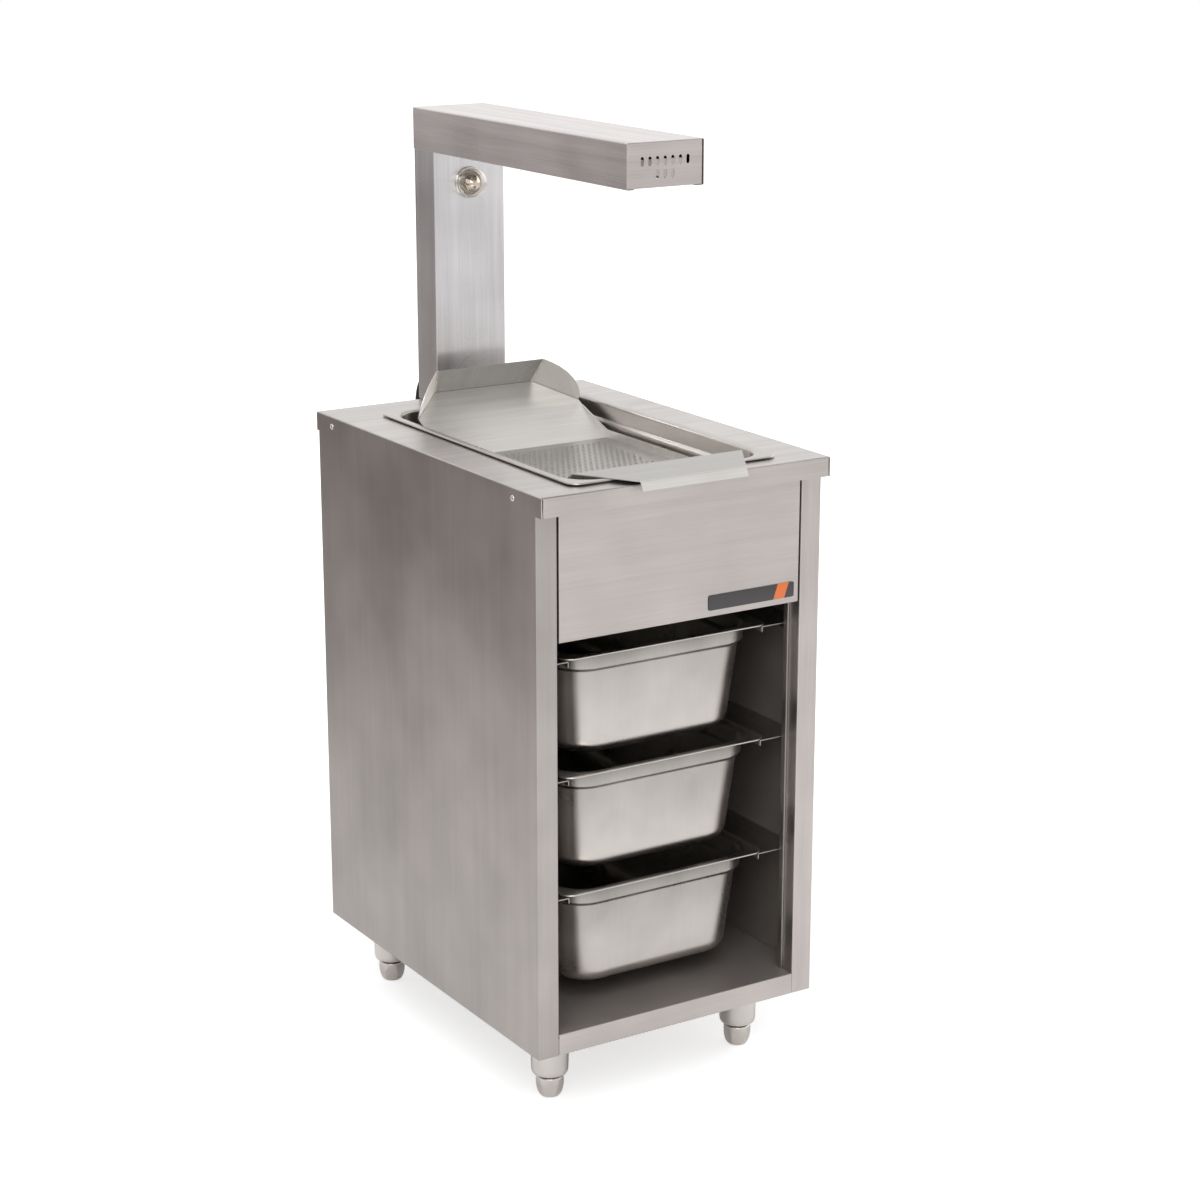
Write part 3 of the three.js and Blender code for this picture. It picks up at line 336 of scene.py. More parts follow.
def prisms(name, outline, places, low, high):
    """Upright prisms, one a place: the outline's points moved to each place, closed at both heights."""
    outline = np.asarray(outline, float) * MM
    places = np.asarray(places, float) * MM
    count, sides = len(places), len(outline)
    flat = (places[:, None, :] + outline[None]).reshape(-1, 2)
    points = np.concatenate([
        np.column_stack([flat, np.full(len(flat), height * MM)]) for height in (low, high)])
    first = np.arange(count)[:, None] * sides
    ring = np.arange(sides)[None]
    following = (ring + 1) % sides
    above = count * sides
    walls = np.stack([
        first + ring, first + following, first + following + above, first + ring + above,
    ], axis=-1).reshape(-1, 4).tolist()
    lids = (first + ring + above).tolist() + (first + ring[:, ::-1]).tolist()
    mesh = bpy.data.meshes.new(name)
    mesh.from_pydata(points.tolist(), [], walls + lids)
    return mesh


def box_outline(size):
    """The corners of a rectangle round the middle."""
    return np.array([(-1, -1), (1, -1), (1, 1), (-1, 1)]) * np.array(size) / 2


def cut_through(piece, cutter):
    """Takes the cutter's space out of the piece, for good."""
    cut = piece.modifiers.new("cut", "BOOLEAN")
    cut.operation = "DIFFERENCE"
    cut.solver = "EXACT"
    cut.object = cutter
    drawn = piece.evaluated_get(bpy.context.evaluated_depsgraph_get())
    mesh = bpy.data.meshes.new_from_object(drawn)
    piece.modifiers.clear()
    piece.data = mesh
    bpy.data.objects.remove(cutter)


def cut_sheet(node, ease, *cutters):
    """The CAD sheet, rolled along X, with each cutter's space taken out before its edges are eased."""
    piece = sheet_copy(node, X)
    piece.modifiers.clear()
    for mesh in cutters:
        cut_through(piece, link(mesh))
    rolling_map(piece.data, X)
    eased_edges(piece, ease)
    return piece


# Materials
def adding_to(tree):
    """Gives the function that adds a node to this tree with its settings. Each input is a value, the socket
    that feeds it, or the node whose first live output does."""
    def add(kind, inputs=None, **settings):
        item = tree.nodes.new("ShaderNode" + kind)
        for name, value in settings.items():
            setattr(item, name, value)
        for name, value in (inputs or {}).items():
            if isinstance(value, bpy.types.Node):
                value = next(output for output in value.outputs if output.enabled)
            if isinstance(value, bpy.types.NodeSocket):
                tree.links.new(value, item.inputs[name])
            else:
                item.inputs[name].default_value = value
        return item
    return add


def per_mm(*sizes):
    """A pattern's scale for a feature of this size in millimetres, or one scale an axis for several sizes."""
    scales = [1 / (size * MM) for size in sizes]
    return scales if len(scales) > 1 else scales[0]


def shades(tone, dark, bright, lift=0.0):
    """Both ends of a colour mix, inputs 6 and 7: the hex colour times the dark and the bright factor."""
    base = linear(tone)[:3]
    return {6: [c * dark for c in base] + [1.0], 7: [min(1.0, c * bright + lift) for c in base] + [1.0]}


def swing(amount, middle=0.0):
    """A multiply-add's inputs 1 and 2, which turn a noise about 0.5 into one about the middle."""
    return {1: amount, 2: middle - amount / 2}


def ramp(start, stop, first, last):
    """A map range's limits: from start to stop it goes from the first value to the last."""
    return {"From Min": start, "From Max": stop, "To Min": first, "To Max": last}


def around(roughness, less, more):
    """The limits that spread a noise's middle about the roughness."""
    return ramp(0.3, 0.7, roughness - less, roughness + more)


def dents(height, strength, depth):
    """A bump's inputs: the noise that it follows, its strength, and its depth in millimetres."""
    return {"Height": height, "Strength": strength, "Distance": depth * MM}


def as_material(surface):
    """Turns a function that adds a surface's nodes into one that makes a named material. That function is
    given the one that adds and the Object coordinates, and returns its shader."""
    def make(name, *values, **options):
        material = bpy.data.materials.new(name)
        material.use_nodes = True
        material.node_tree.nodes.clear()
        add = adding_to(material.node_tree)
        shader = surface(add, add("TexCoord").outputs["Object"], *values, **options)
        add("OutputMaterial", {"Surface": shader})
        return material
    return make


@as_material
def brushed_steel(add, place, tone, roughness=0.3, grain=1.0, streak=1.0, cloud=1.0):
    """1.4301 stainless sheet, brushed with a belt: fine lines along the rolling direction, a highlight that
    spreads across them, broader streaks where the belt wore, and faint clouds of handling. The belt's lines
    are about 0.15 mm apart; they are drawn 1.7 mm apart, so that they show."""
    along = add("UVMap", uv_map="grain")
    lines = add("TexNoise", {
        "Vector": add("Mapping", {"Vector": along, "Scale": (*per_mm(130, 1.7), 1)}),
        "Scale": 1.0, "Roughness": 0.6})
    streaks = add("TexNoise", {
        "Vector": add("Mapping", {
            "Vector": along, "Location": (3, 7, 0), "Scale": (*per_mm(520, 16), 1)}),
        "Scale": 1.0, "Detail": 3.0})
    clouds = add("TexNoise", {"Vector": place, "Scale": per_mm(150)})
    lined = add("Math", {0: lines, **swing(0.9 * grain, 0.5)}, operation="MULTIPLY_ADD")
    streaked = add("Math", {0: streaks, **swing(1.1 * streak)}, operation="MULTIPLY_ADD")
    clouded = add("Math", {0: clouds, **swing(cloud)}, operation="MULTIPLY_ADD")
    both = add("Math", {0: lined, 1: streaked})
    level = add("Math", {0: both, 1: clouded}, use_clamp=True)
    colour = add("Mix", {0: level, **shades(tone, 0.82, 1.18)}, data_type="RGBA")
    rough = add("MapRange", {"Value": clouds, **around(roughness, 0.03, 0.04)})
    bump = add("Bump", dents(lines, 0.25, 0.03))
    return add("BsdfPrincipled", {
        "Base Color": colour, "Metallic": 1.0, "Roughness": rough, "Normal": bump,
        "Anisotropic": 0.55, "Anisotropic Rotation": 0.25,
        "Tangent": add("Tangent", direction_type="UV_MAP", uv_map="grain")})


@as_material
def drawn_steel(add, place, tone):
    """Deep-drawn 1.4301 pan: satin all over, with soft clouds and faint upright draw marks, and painted shade
    from the mesh's tone attribute: greyer below the flange, at the shoulder and inside. The marks are about
    1 mm apart; they are drawn 4 mm apart."""
    clouds = add("TexNoise", {"Vector": place, "Scale": per_mm(70)})
    draws = add("TexNoise", {
        "Vector": add("Mapping", {"Vector": place, "Scale": per_mm(4, 4, 150)}), "Scale": 1.0})
    # The painted shade under the flange, in the creases and inside the pan, from the mesh's tone attribute
    shade_level = add("Attribute", attribute_name="tone").outputs["Fac"]
    marks = add("Math", {0: draws, **swing(0.09)}, operation="MULTIPLY_ADD")
    soft = add("Math", {0: clouds, **swing(0.6)}, operation="MULTIPLY_ADD")
    both = add("Math", {0: marks, 1: soft})
    level = add("Math", {0: shade_level, 1: both}, use_clamp=True)
    colour = add("Mix", {0: level, **shades(tone, 0.45, 1.12)}, data_type="RGBA")
    rough = add("MapRange", {"Value": clouds, **around(0.29, 0.03, 0.05)})
    bump = add("Bump", dents(clouds, 0.2, 0.5))
    return add("BsdfPrincipled", {
        "Base Color": colour, "Metallic": 1.0, "Roughness": rough, "Normal": bump})


@as_material
def turned_steel(add, place, tone):
    """Stainless bar turned on a lathe: fine rings round the upright axis and a bright, even sheen. The tool's
    rings are about 0.2 mm apart; they are drawn 1.5 mm apart."""
    rings = add("TexNoise", {
        "Vector": add("Mapping", {"Vector": place, "Scale": per_mm(60, 60, 1.5)}), "Scale": 1.0})
    worn = add("TexNoise", {"Vector": place, "Scale": per_mm(22)})
    colour = add("Mix", {0: worn, **shades(tone, 0.94, 1.05)}, data_type="RGBA")
    rough = add("MapRange", {"Value": worn, **around(0.12, 0.02, 0.04)})
    bump = add("Bump", dents(rings, 0.05, 0.03))
    return add("BsdfPrincipled", {
        "Base Color": colour, "Metallic": 1.0, "Roughness": rough, "Normal": bump})


@as_material
def mill_steel(add, place, tone):
    """The sheet's inner side, as it left the cold mill: dull and grey, with a faint grit that scatters the
    light, and soft clouds."""
    clouds = add("TexNoise", {"Vector": place, "Scale": per_mm(90), "Detail": 3.0})
    grit = add("TexNoise", {"Vector": place, "Scale": per_mm(2.5), "Roughness": 0.6})
    mixed = add("Mix", {0: 0.4, 2: clouds, 3: grit})
    colour = add("Mix", {0: mixed, **shades(tone, 0.7, 1.3)}, data_type="RGBA")
    rough = add("MapRange", {"Value": clouds, **around(0.42, 0.04, 0.06)})
    return add("BsdfPrincipled", {"Base Color": colour, "Metallic": 0.45, "Roughness": rough})


@as_material
def bright_steel(add, place, tone, roughness=0.08):
    """Polished or plated metal: a mirror with the slightest haze and a few hairline marks."""
    haze = add("TexNoise", {"Vector": place, "Scale": per_mm(6), "Detail": 3.0})
    rough = add("MapRange", {"Value": haze, **ramp(0.35, 0.65, roughness, roughness + 0.06)})
    colour = add("Mix", {0: haze, **shades(tone, 0.9, 1.0)}, data_type="RGBA")
    return add("BsdfPrincipled", {"Base Color": colour, "Metallic": 1.0, "Roughness": rough})


@as_material
def weld_steel(add, place, valley, crest):
    """A TIG weld bead: bright rippled steel, with straw heat tints in its valleys."""
    tint = add("TexNoise", {"Vector": place, "Scale": per_mm(4)})
    bump = add("Bump", dents(tint, 0.3, 0.2))
    colour = add("Mix", {0: tint, 6: linear(valley), 7: linear(crest)}, data_type="RGBA")
    return add("BsdfPrincipled", {
        "Base Color": colour, "Metallic": 1.0, "Roughness": 0.2, "Normal": bump})


@as_material
def moulded_plastic(add, place, tone, roughness=0.42, strength=0.25):
    """Injection-moulded plastic: an even colour with a little dust, and the mould's spark-eroded grit, about
    half a millimetre a grain."""
    grains = add("TexNoise", {"Vector": place, "Scale": per_mm(0.5)})
    dust = add("TexNoise", {"Vector": place, "Scale": per_mm(14), "Detail": 4.0})
    colour = add("Mix", {0: dust, **shades(tone, 0.85, 1.2, 0.004)}, data_type="RGBA")
    rough = add("MapRange", {"Value": dust, **around(roughness, 0.06, 0.08)})
    bump = add("Bump", dents(grains, strength, 0.05))
    return add("BsdfPrincipled", {
        "Base Color": colour, "Roughness": rough, "IOR": 1.49, "Normal": bump})


@as_material
def lead_rubber(add, place, sheath, talcum):
    """H05RN-F chloroprene rubber sheath: black, soft-sheened, with talc haze and a fine extruded skin."""
    talc = add("TexNoise", {"Vector": place, "Scale": per_mm(22), "Detail": 5.0, "Roughness": 0.65})
    grain = add("TexNoise", {"Vector": place, "Scale": per_mm(0.8)})
    bump = add("Bump", dents(grain, 0.2, 0.06))
    colour = add("Mix", {0: talc, 6: linear(sheath), 7: linear(talcum)}, data_type="RGBA")
    return add("BsdfPrincipled", {
        "Base Color": colour, "Roughness": 0.5, "IOR": 1.52, "Normal": bump})


@as_material
def heated_sheath(add, place, dark, pale):
    """Nickel alloy heater tube after some months of heat: a matt brown-grey oxide in drifting bands."""
    drift = add("TexNoise", {
        "Vector": add("Mapping", {"Vector": place, "Scale": per_mm(30, 14, 30)}),
        "Scale": 1.0, "Detail": 4.0})
    colour = add("Mix", {0: drift, 6: linear(dark), 7: linear(pale)}, data_type="RGBA")
    return add("BsdfPrincipled", {"Base Color": colour, "Metallic": 0.8, "Roughness": 0.55})


@as_material
def steatite(add, place, stained, clean):
    """Fired steatite ceramic: dense, off-white, with a dry fine pit."""
    pits = add("TexNoise", {"Vector": place, "Scale": per_mm(0.7), "Detail": 3.0})
    stain = add("TexNoise", {"Vector": place, "Scale": per_mm(9), "Detail": 3.0})
    bump = add("Bump", dents(pits, 0.3, 0.1))
    colour = add("Mix", {0: stain, 6: linear(stained), 7: linear(clean)}, data_type="RGBA")
    return add("BsdfPrincipled", {
        "Base Color": colour, "Roughness": 0.62, "IOR": 1.6, "Normal": bump})


@as_material
def clear_glass(add, place, tone):
    """Blown borosilicate: clear, with a slight warm tint and a gentle wave in its thickness."""
    wave = add("TexNoise", {"Vector": place, "Scale": per_mm(11), "Detail": 1.0})
    bump = add("Bump", dents(wave, 0.12, 0.5))
    return add("BsdfPrincipled", {
        "Base Color": linear(tone), "Roughness": 0.01, "IOR": 1.47, "Transmission Weight": 1.0,
        "Normal": bump})


# The badge's band, in metres: its edges along X at the given height, and how far it leans for each metre up
BAND_FROM = 0.150
BAND_TO = 0.168
BAND_HEIGHT = 0.6945
BAND_LEAN = 0.35


@as_material
def badge_lacquer(add, place, ground, band):
    """Screen-printed lacquer on a thin plate: a dark ground with one plain slanted band of colour, under a
    hard gloss coat. The print's grain is drawn half a millimetre wide."""
    axes = add("SeparateXYZ", {0: place})
    height = add("Math", {0: axes.outputs["Z"], 1: BAND_HEIGHT}, operation="SUBTRACT")
    slanted = add("Math", {0: height, 1: BAND_LEAN}, operation="MULTIPLY")
    reach = add("Math", {0: axes.outputs["X"], 1: slanted}, operation="SUBTRACT")
    after = add("Math", {0: reach, 1: BAND_FROM}, operation="GREATER_THAN")
    before = add("Math", {0: reach, 1: BAND_TO}, operation="LESS_THAN")
    inside = add("Math", {0: after, 1: before}, operation="MULTIPLY")
    grain = add("TexNoise", {"Vector": place, "Scale": per_mm(0.5)})
    bump = add("Bump", dents(grain, 0.08, 0.05))
    colour = add("Mix", {0: inside, 6: linear(ground), 7: linear(band)}, data_type="RGBA")
    return add("BsdfPrincipled", {
        "Base Color": colour, "Roughness": 0.3, "IOR": 1.5, "Coat Weight": 0.5, "Coat Roughness": 0.08,
        "Normal": bump})


worktop_steel = brushed_steel("brushed_steel_worktop", "CEC9C6")
# A darker brushed steel for the sides: painted shade on the left panel and the worktop's side aprons
shaded_side_steel = brushed_steel(
    "brushed_steel_side", "B3ADAA", roughness=0.33, grain=0.5, streak=0.4, cloud=1.8)
front_steel = brushed_steel("brushed_steel_front", "C8C1BD", roughness=0.33, grain=0.6, streak=0.5)
hood_steel = brushed_steel("brushed_steel_hood", "DDD6D4", roughness=0.28, streak=1.3, cloud=0.7)
column_steel = brushed_steel("brushed_steel_column", "E6E3E4", roughness=0.28, grain=0.8, streak=0.9)
# A darker copy of the hood's steel for its end cap: painted shade
shaded_cap_steel = brushed_steel("brushed_steel_hood_end", "C9C1BE")
inner_steel = brushed_steel("mill_finish_rail", "B4B0AC", roughness=0.36, streak=0.5)
inside_steel = mill_steel("mill_finish_inside", "8E8783")
# A lighter copy of the mill finish for the left panel's inner side: painted light, as if lit through the
# opening
lit_inside_steel = mill_steel("mill_finish_bright_side", "DDD7D2")
chute_steel = brushed_steel(
    "brushed_steel_chute", "E8E5E1", roughness=0.4, grain=0.7, streak=0.6, cloud=0.6)
# A darker copy of the chute's steel for its level faces: painted shade
level_shade_steel = brushed_steel(
    "brushed_steel_chute_rubbed", "BAB7B3", roughness=0.32, grain=0.7, streak=0.6, cloud=0.8)
# A darker copy of the chute's steel for its back wall and right cheek: painted shade
shaded_wall_steel = brushed_steel("brushed_steel_chute_wall", "A9A7A4", grain=0.7, streak=0.6, cloud=0.6)
pan_steel = drawn_steel("drawn_pan_steel", "CBC6C1")
foot_steel = turned_steel("turned_foot_steel", "E0DAD5")
screw_steel = bright_steel("polished_screw_steel", "D8D6D2", roughness=0.12)
chrome = bright_steel("chrome_plate", "E4E3E2")
mirror_aluminium = brushed_steel("bright_rolled_aluminium", "DAD9D6", roughness=0.2, grain=0.5, streak=0.4)
bead_steel = weld_steel("weld_bead_steel", "B9A98F", "E6E3DE")
black_nylon = moulded_plastic("black_nylon", "1E1E1F")
rocker_plastic = moulded_plastic("black_polycarbonate", "18181A", roughness=0.3, strength=0.12)
terminal_nylon = moulded_plastic("natural_nylon", "E2DDD0", roughness=0.45)
lead_sheath = lead_rubber("black_chloroprene_rubber", "121213", "2A2A2B")
element_sheath = heated_sheath("oxidised_heater_sheath", "4A4038", "8A7F75")
holder_ceramic = steatite("steatite_ceramic", "DCD5C6", "EFEADF")
lamp_glass = clear_glass("borosilicate_glass", "FAF6F1")
bulb_coating = bright_steel("silvered_bulb_coating", "E6DFD6", roughness=0.05)
badge_print = badge_lacquer("screen_printed_lacquer", "3A3638", "F07A35")


def dress(piece, material, slot, *nodes, body=None):
    """Gives a piece its finish and its body, and hides the CAD nodes that it stands for."""
    piece.data.materials.clear()
    piece.data.materials.append(material)
    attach(piece, body or BODY_OF[nodes[0]])
    if nodes:
        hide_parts(*nodes)
    return piece


def refinish(piece, steel, axis, side=0, start=0.0, least=0.7):
    """Gives one more finish to the faces that look along an axis, to the given side of it or to either where
    that is 0, and that lie at least the start, in metres, away from the middle plane."""
    mesh = piece.data
    facing = read(mesh.polygons, "normal", 3)[:, axis]
    facing = facing * side if side else np.abs(facing)
    away = np.abs(read(mesh.polygons, "center", 3)[:, axis])
    before = read(mesh.polygons, "material_index", kind=np.int32)
    mesh.materials.append(steel)
    after = np.where((facing > least) & (away >= start), len(mesh.materials) - 1, before)
    mesh.polygons.foreach_set("material_index", after.astype(np.int32))


# Sheets whose inner side keeps the mill's finish: the node, the finish, the axis and the way that this side
# looks, and how far from the middle plane it starts, in metres, so that the posts' returns stay brushed
INNER_SIDES = {
    "right_side_panel": (inside_steel, X, -1, 0.21),
    # The left panel's inner side gets the lighter copy of the mill finish: painted light
    "left_side_panel": (lit_inside_steel, X, 1, 0.21),
    "back_panel": (inside_steel, Y, -1),
    "bottom_shelf": (inside_steel, Z, 1),
    "front_fascia": (inside_steel, Y, 1),
}

# Sheet pieces: the node, the rolling direction, the steel and the slot
SHEETS = [
    ("right_side_panel", Z, front_steel, "panel_sheet"),
    ("left_side_panel", Z, shaded_side_steel, "panel_sheet"),
    ("back_panel", Z, front_steel, "panel_sheet"),
    ("bottom_shelf", X, front_steel, "brushed_sheet"),
    ("front_fascia", X, front_steel, "brushed_sheet"),
    ("front_channel", X, inner_steel, "rail_steel"),
    ("rear_channel", X, inner_steel, "rail_steel"),
    ("chute_back_wall", Z, shaded_wall_steel, "brushed_sheet"),
    ("chute_cheek_right", Z, shaded_wall_steel, "brushed_sheet"),
    ("chute_cheek_left", Z, chute_steel, "brushed_sheet"),
    ("column_shell", Z, column_steel, "brushed_sheet"),
    ("column_back_cover", Z, column_steel, "brushed_sheet"),
    ("column_base", X, inner_steel, "rail_steel"),
    ("hood_shell", Y, hood_steel, "brushed_sheet"),
    ("hood_reflector", Y, mirror_aluminium, "bright_steel"),
]
SHEETS += [
    (f"pan_runner_{side}_{level}", Y, inner_steel, "rail_steel") for side, _ in SIDES for level in (1, 2, 3)]

for node, along, steel, slot in SHEETS:
    sheet = dress(sheet_copy(node, along), steel, slot, node)
    if node in INNER_SIDES:
        refinish(sheet, *INNER_SIDES[node])

# Worktop corners: the open seam of the folded aprons, from below them almost to the top, and its wider foot
SEAM_SLIT = (1.5, 6.0)
SEAM_FOOT = (2.6, 6.0)
SEAM_FOOT_HEIGHT = 2.2
SEAM_INSET = 2.2
SEAM_CLEAR = 2
APRON_DROP = 27.0


def seam_cutters():
    """Upright boxes beside the four corners: a slim one for the slit and a wider, low one for its foot."""
    low, high, _, _ = box_mm("worktop")
    places = [(x, y) for x in (low[0] + SEAM_INSET, high[0] - SEAM_INSET) for y in (low[1], high[1])]
    foot = high[2] - APRON_DROP
    return [
        prisms("seam_slit", box_outline(SEAM_SLIT), places, foot - SEAM_CLEAR, high[2] - SEAM_CLEAR),
        prisms("seam_foot", box_outline(SEAM_FOOT), places, foot - SEAM_CLEAR, foot + SEAM_FOOT_HEIGHT),
    ]


worktop = dress(cut_sheet("worktop", SHEET_EASE, *seam_cutters()), worktop_steel, "brushed_sheet", "worktop")
# The aprons take the panels' steels by the way they face: the side aprons the darker side steel and the front
# apron the front steel, painted shade below the lighter top
refinish(worktop, shaded_side_steel, X)
refinish(worktop, front_steel, Y)

# Rack uprights on the posts' inner faces
UPRIGHT_SIZE = (2.6, 9.6)
UPRIGHT_MIDDLE = (189.9, -263.7)
UPRIGHT_ENDS = (130.4, 712.0)


def rack_upright(name, way):
    """A slim folded strip, round at its edges."""
    places = [(UPRIGHT_MIDDLE[0] * way, UPRIGHT_MIDDLE[1])]
    mesh = prisms(name, box_outline(UPRIGHT_SIZE), places, *UPRIGHT_ENDS)
    merged(mesh)
    rolling_map(mesh, Z)
    piece = link(mesh)
    eased_edges(piece, 0.5 * MM)
    return piece


for side, way in SIDES:
    dress(rack_upright(f"rack_upright_{side}", way), inner_steel, "rail_steel", body="cabinet")

# Gastronorm pans
PAN_WALL = 0.8
PAN_FLANGE = 12.5
PAN_FLANGE_RADIUS = 18
PAN_FLANGE_DROP = 2.6
PAN_SEAT = 3.9
PAN_SEAT_WIDTH = 8
PAN_MOUTH_RADIUS = 45
PAN_BAND = 24
PAN_DRAFT = 1
PAN_SHOULDER = 4
PAN_BODY_DRAFT = 7.5
PAN_BODY_RADIUS = 54
PAN_FILLET = 21
PAN_DEPTH = 150
# The painted shade's level by the drop below the flange's top, 1 for none; outside, the first two are the
# flange's own
OUTSIDE_DROP = [0, 3, 4, 7, 23, 24.4, 28, 60, 110, 150]
OUTSIDE_SHADE_LEVEL = [0.05, 0.3, 0.5, 0, 0.55, 0.75, 0.95, 1]
INSIDE_DROP = [0, 3, 12, 150]
INSIDE_SHADE_LEVEL = [0.8, 0.75, 0.7]


def pan_profile():
    """The pan's section as (inset from the flange's edge, drop below its top, corner radius), from the
    middle of the floor's outside, up the outside, over the flange and down the inside. The sharp corners
    are rounded, and the floor's fillet is a quarter circle."""
    wall, edge, mouth = PAN_WALL, PAN_FLANGE_RADIUS, PAN_MOUTH_RADIUS
    seat = PAN_FLANGE - PAN_SEAT_WIDTH
    band = PAN_FLANGE + PAN_DRAFT
    shoulder, shoulder_drop = band + PAN_SHOULDER, PAN_BAND + PAN_SHOULDER
    foot = shoulder + PAN_BODY_DRAFT
    turn = np.linspace(math.pi / 2, 0, 10)

    def fillet(inset):
        radius = PAN_FILLET - inset
        inward = radius * (1 - np.cos(turn))
        return np.stack([
            foot + inset + inward,
            PAN_DEPTH - PAN_FILLET + radius * np.sin(turn),
            PAN_BODY_RADIUS - inset - inward,
        ], axis=1)

    outer = fillet(0)
    inner = fillet(wall)[::-1]
    inwards = [[14, 0, -14]]
    walls = softened([
        outer[-1], (shoulder, shoulder_drop, mouth + 2), (band, PAN_BAND, mouth),
        (PAN_FLANGE, PAN_SEAT, mouth), (seat, PAN_SEAT, mouth - 8),
        (seat - wall, PAN_FLANGE_DROP, mouth - 10), (wall, PAN_FLANGE_DROP, edge - wall),
        (0, PAN_FLANGE_DROP - wall, edge), (0, wall, edge),
        (wall, 0, edge - wall), (PAN_FLANGE - 2.4, 0, mouth), (PAN_FLANGE + wall, 2.6, mouth),
        (band + wall, PAN_BAND, mouth), (shoulder + wall, shoulder_drop, mouth + 2), inner[0],
    ], [2.2, 1.6, 0.8, 0.5, 0.4, 0.4, 0.8, 0.8, 0.8, 2.6, 2.4, 1.6, 2.2])
    return np.concatenate([outer[:1] + inwards, outer[:-1], walls, inner[1:], inner[-1:] + inwards])


def gastronorm_pan(node, flange_shade_level):
    """Round rectangles, one a profile point, each smaller than the flange by twice the inset. The tone is a
    painted shade: it falls below the flange, at the shoulder's crease and inside the pan."""
    _, high, middle, size = box_mm(node)
    half = size / 2
    inset, drop, radius = pan_profile().T
    outside = np.arange(len(drop)) < drop.argmin()
    tone = np.where(
        outside,
        np.interp(drop, OUTSIDE_DROP, [flange_shade_level, flange_shade_level, *OUTSIDE_SHADE_LEVEL]),
        np.interp(drop, INSIDE_DROP, [flange_shade_level, *INSIDE_SHADE_LEVEL]))
    x, y = round_rectangle(half[0] - inset, half[1] - inset, radius, 14)
    z = np.broadcast_to((high[2] - drop)[:, None], x.shape)
    points = np.stack([middle[0] + x, middle[1] + y, z], axis=-1)
    return crisp(skin(node + "_drawn", points * MM, tone=tone), 60)


# Each pan's flange level: the top pan's flange is painted darker, a painted shade that dulls its highlight
for node, flange_shade_level in (
        ("storage_pan_1", 1.0), ("storage_pan_2", 1.0), ("storage_pan_3", 1.0), ("top_pan", 0.75)):
    dress(gastronorm_pan(node, flange_shade_level), pan_steel, "pan_steel", node)

# Feet
BULLET_TOP = 31.5  # of the body, under the stud
BULLET_STEPS = 144
FLAT_AT_TIP = 13.4  # from the axis to a flat
FLAT_LEAN = 6.3  # over the body's height
FLATS_FROM = 7  # the radius inside which the bullet stays round


def foot_socket(node):
    """A flange on a tapered cup with a rounded lower edge and a bore, turned from bar."""
    low, high, middle, _ = box_mm(node)
    bottom, top = low[2], high[2]
    profile = softened([
        (0, top - 7), (6.4, top - 7), (6.4, bottom), (18.9, bottom), (23.6, bottom + 1.6),
        (25.6, bottom + 5.7), (27.3, top - 2.5), (38, top - 2.5), (38, top), (0, top),
    ], [0.4, 0.5, 0.5, 1.8, 2.5, 1.2, 0.6, 0.6])
    return turned(node + "_turned", profile, (middle[0], middle[1], 0), (0, 0, 1), 96)


def foot_bullet(node):
    """A turned body with a rounded tip and six flats: the radius is the smaller of the turned radius and the
    distance to the nearest flat, which leans in towards the tip."""
    _, _, middle, size = box_mm(node)
    height = size[2]
    profile = softened([
        (0, 0), (9, 0), (14.4, 2.1), (17.6, 8), (19.0, 14.5), (19.3, 21), (19.3, BULLET_TOP - 1.0),
        (17.8, BULLET_TOP), (6, BULLET_TOP), (6, height), (0, height),
    ], [2.4, 3.0, 3.4, 3.0, 2.0, 1.0, 1.0, 0.4, 0.6], steps=5)
    angle = even_angles(BULLET_STEPS)
    folded = np.abs((angle + math.pi / 6) % (math.pi / 3) - math.pi / 6)
    flat = FLAT_AT_TIP + FLAT_LEAN * np.clip(profile[:, 1] / BULLET_TOP, 0, 4)
    limit = flat[:, None] / np.cos(folded)[None]
    own = np.broadcast_to(profile[:, 0, None], limit.shape)
    radius = np.where(own > FLATS_FROM, np.minimum(own, limit), own)
    points = np.stack([
        middle[0] + radius * np.cos(angle),
        middle[1] + radius * np.sin(angle),
        np.broadcast_to(profile[:, 1, None], radius.shape),
    ], axis=-1)
    return crisp(skin(node + "_turned", points * MM, ends=False), 35)


for corner in ("front_left", "front_right", "rear_left", "rear_right"):
    for make, node in ((foot_socket, f"foot_socket_{corner}"), (foot_bullet, f"foot_bullet_{corner}")):
        dress(make(node), foot_steel, "foot_steel", node)


# Dome screws of the worktop's apron
DOME_HEIGHT = 2.4


def dome_screw(node, way):
    """A shank, a flat-backed dome and a shallow dimple, revolved about X."""
    low, high, middle, size = box_mm(node)
    head = size[0] - DOME_HEIGHT
    profile = softened([
        (0, 0), (1.6, 0), (2.1, 0.6), (2.1, head), (4.5, head), (4.45, head + 0.5), (3.9, head + 1.4),
        (2.7, head + 2.15), (1.5, head + 2.38), (1.3, head + 1.5), (0, head + 1.4),
    ], [0.2, 0.3, 0.3, 0.2, 0.4, 0.8, 0.8, 0.3, 0.3])
    inner_end = low[0] if way > 0 else high[0]
    return turned(node + "_turned", profile, (inner_end, middle[1], middle[2]), (way, 0, 0), 48)


for side, way in SIDES:
    for end in ("front", "rear"):
        node = f"apron_screw_{side}_{end}"
        dress(dome_screw(node, way), screw_steel, "screw_steel", node)

# Chute: the drain holes and the field that they fill
FLOOR_HOLE = 5.0
FLOOR_HOLE_PITCH = 9.0
FIELD_HALF_WIDTH = 104
FIELD_ENDS = (-138, 84)
HOLE_CUT = (-5, 6)  # the cutter's ends, from the floor's underside


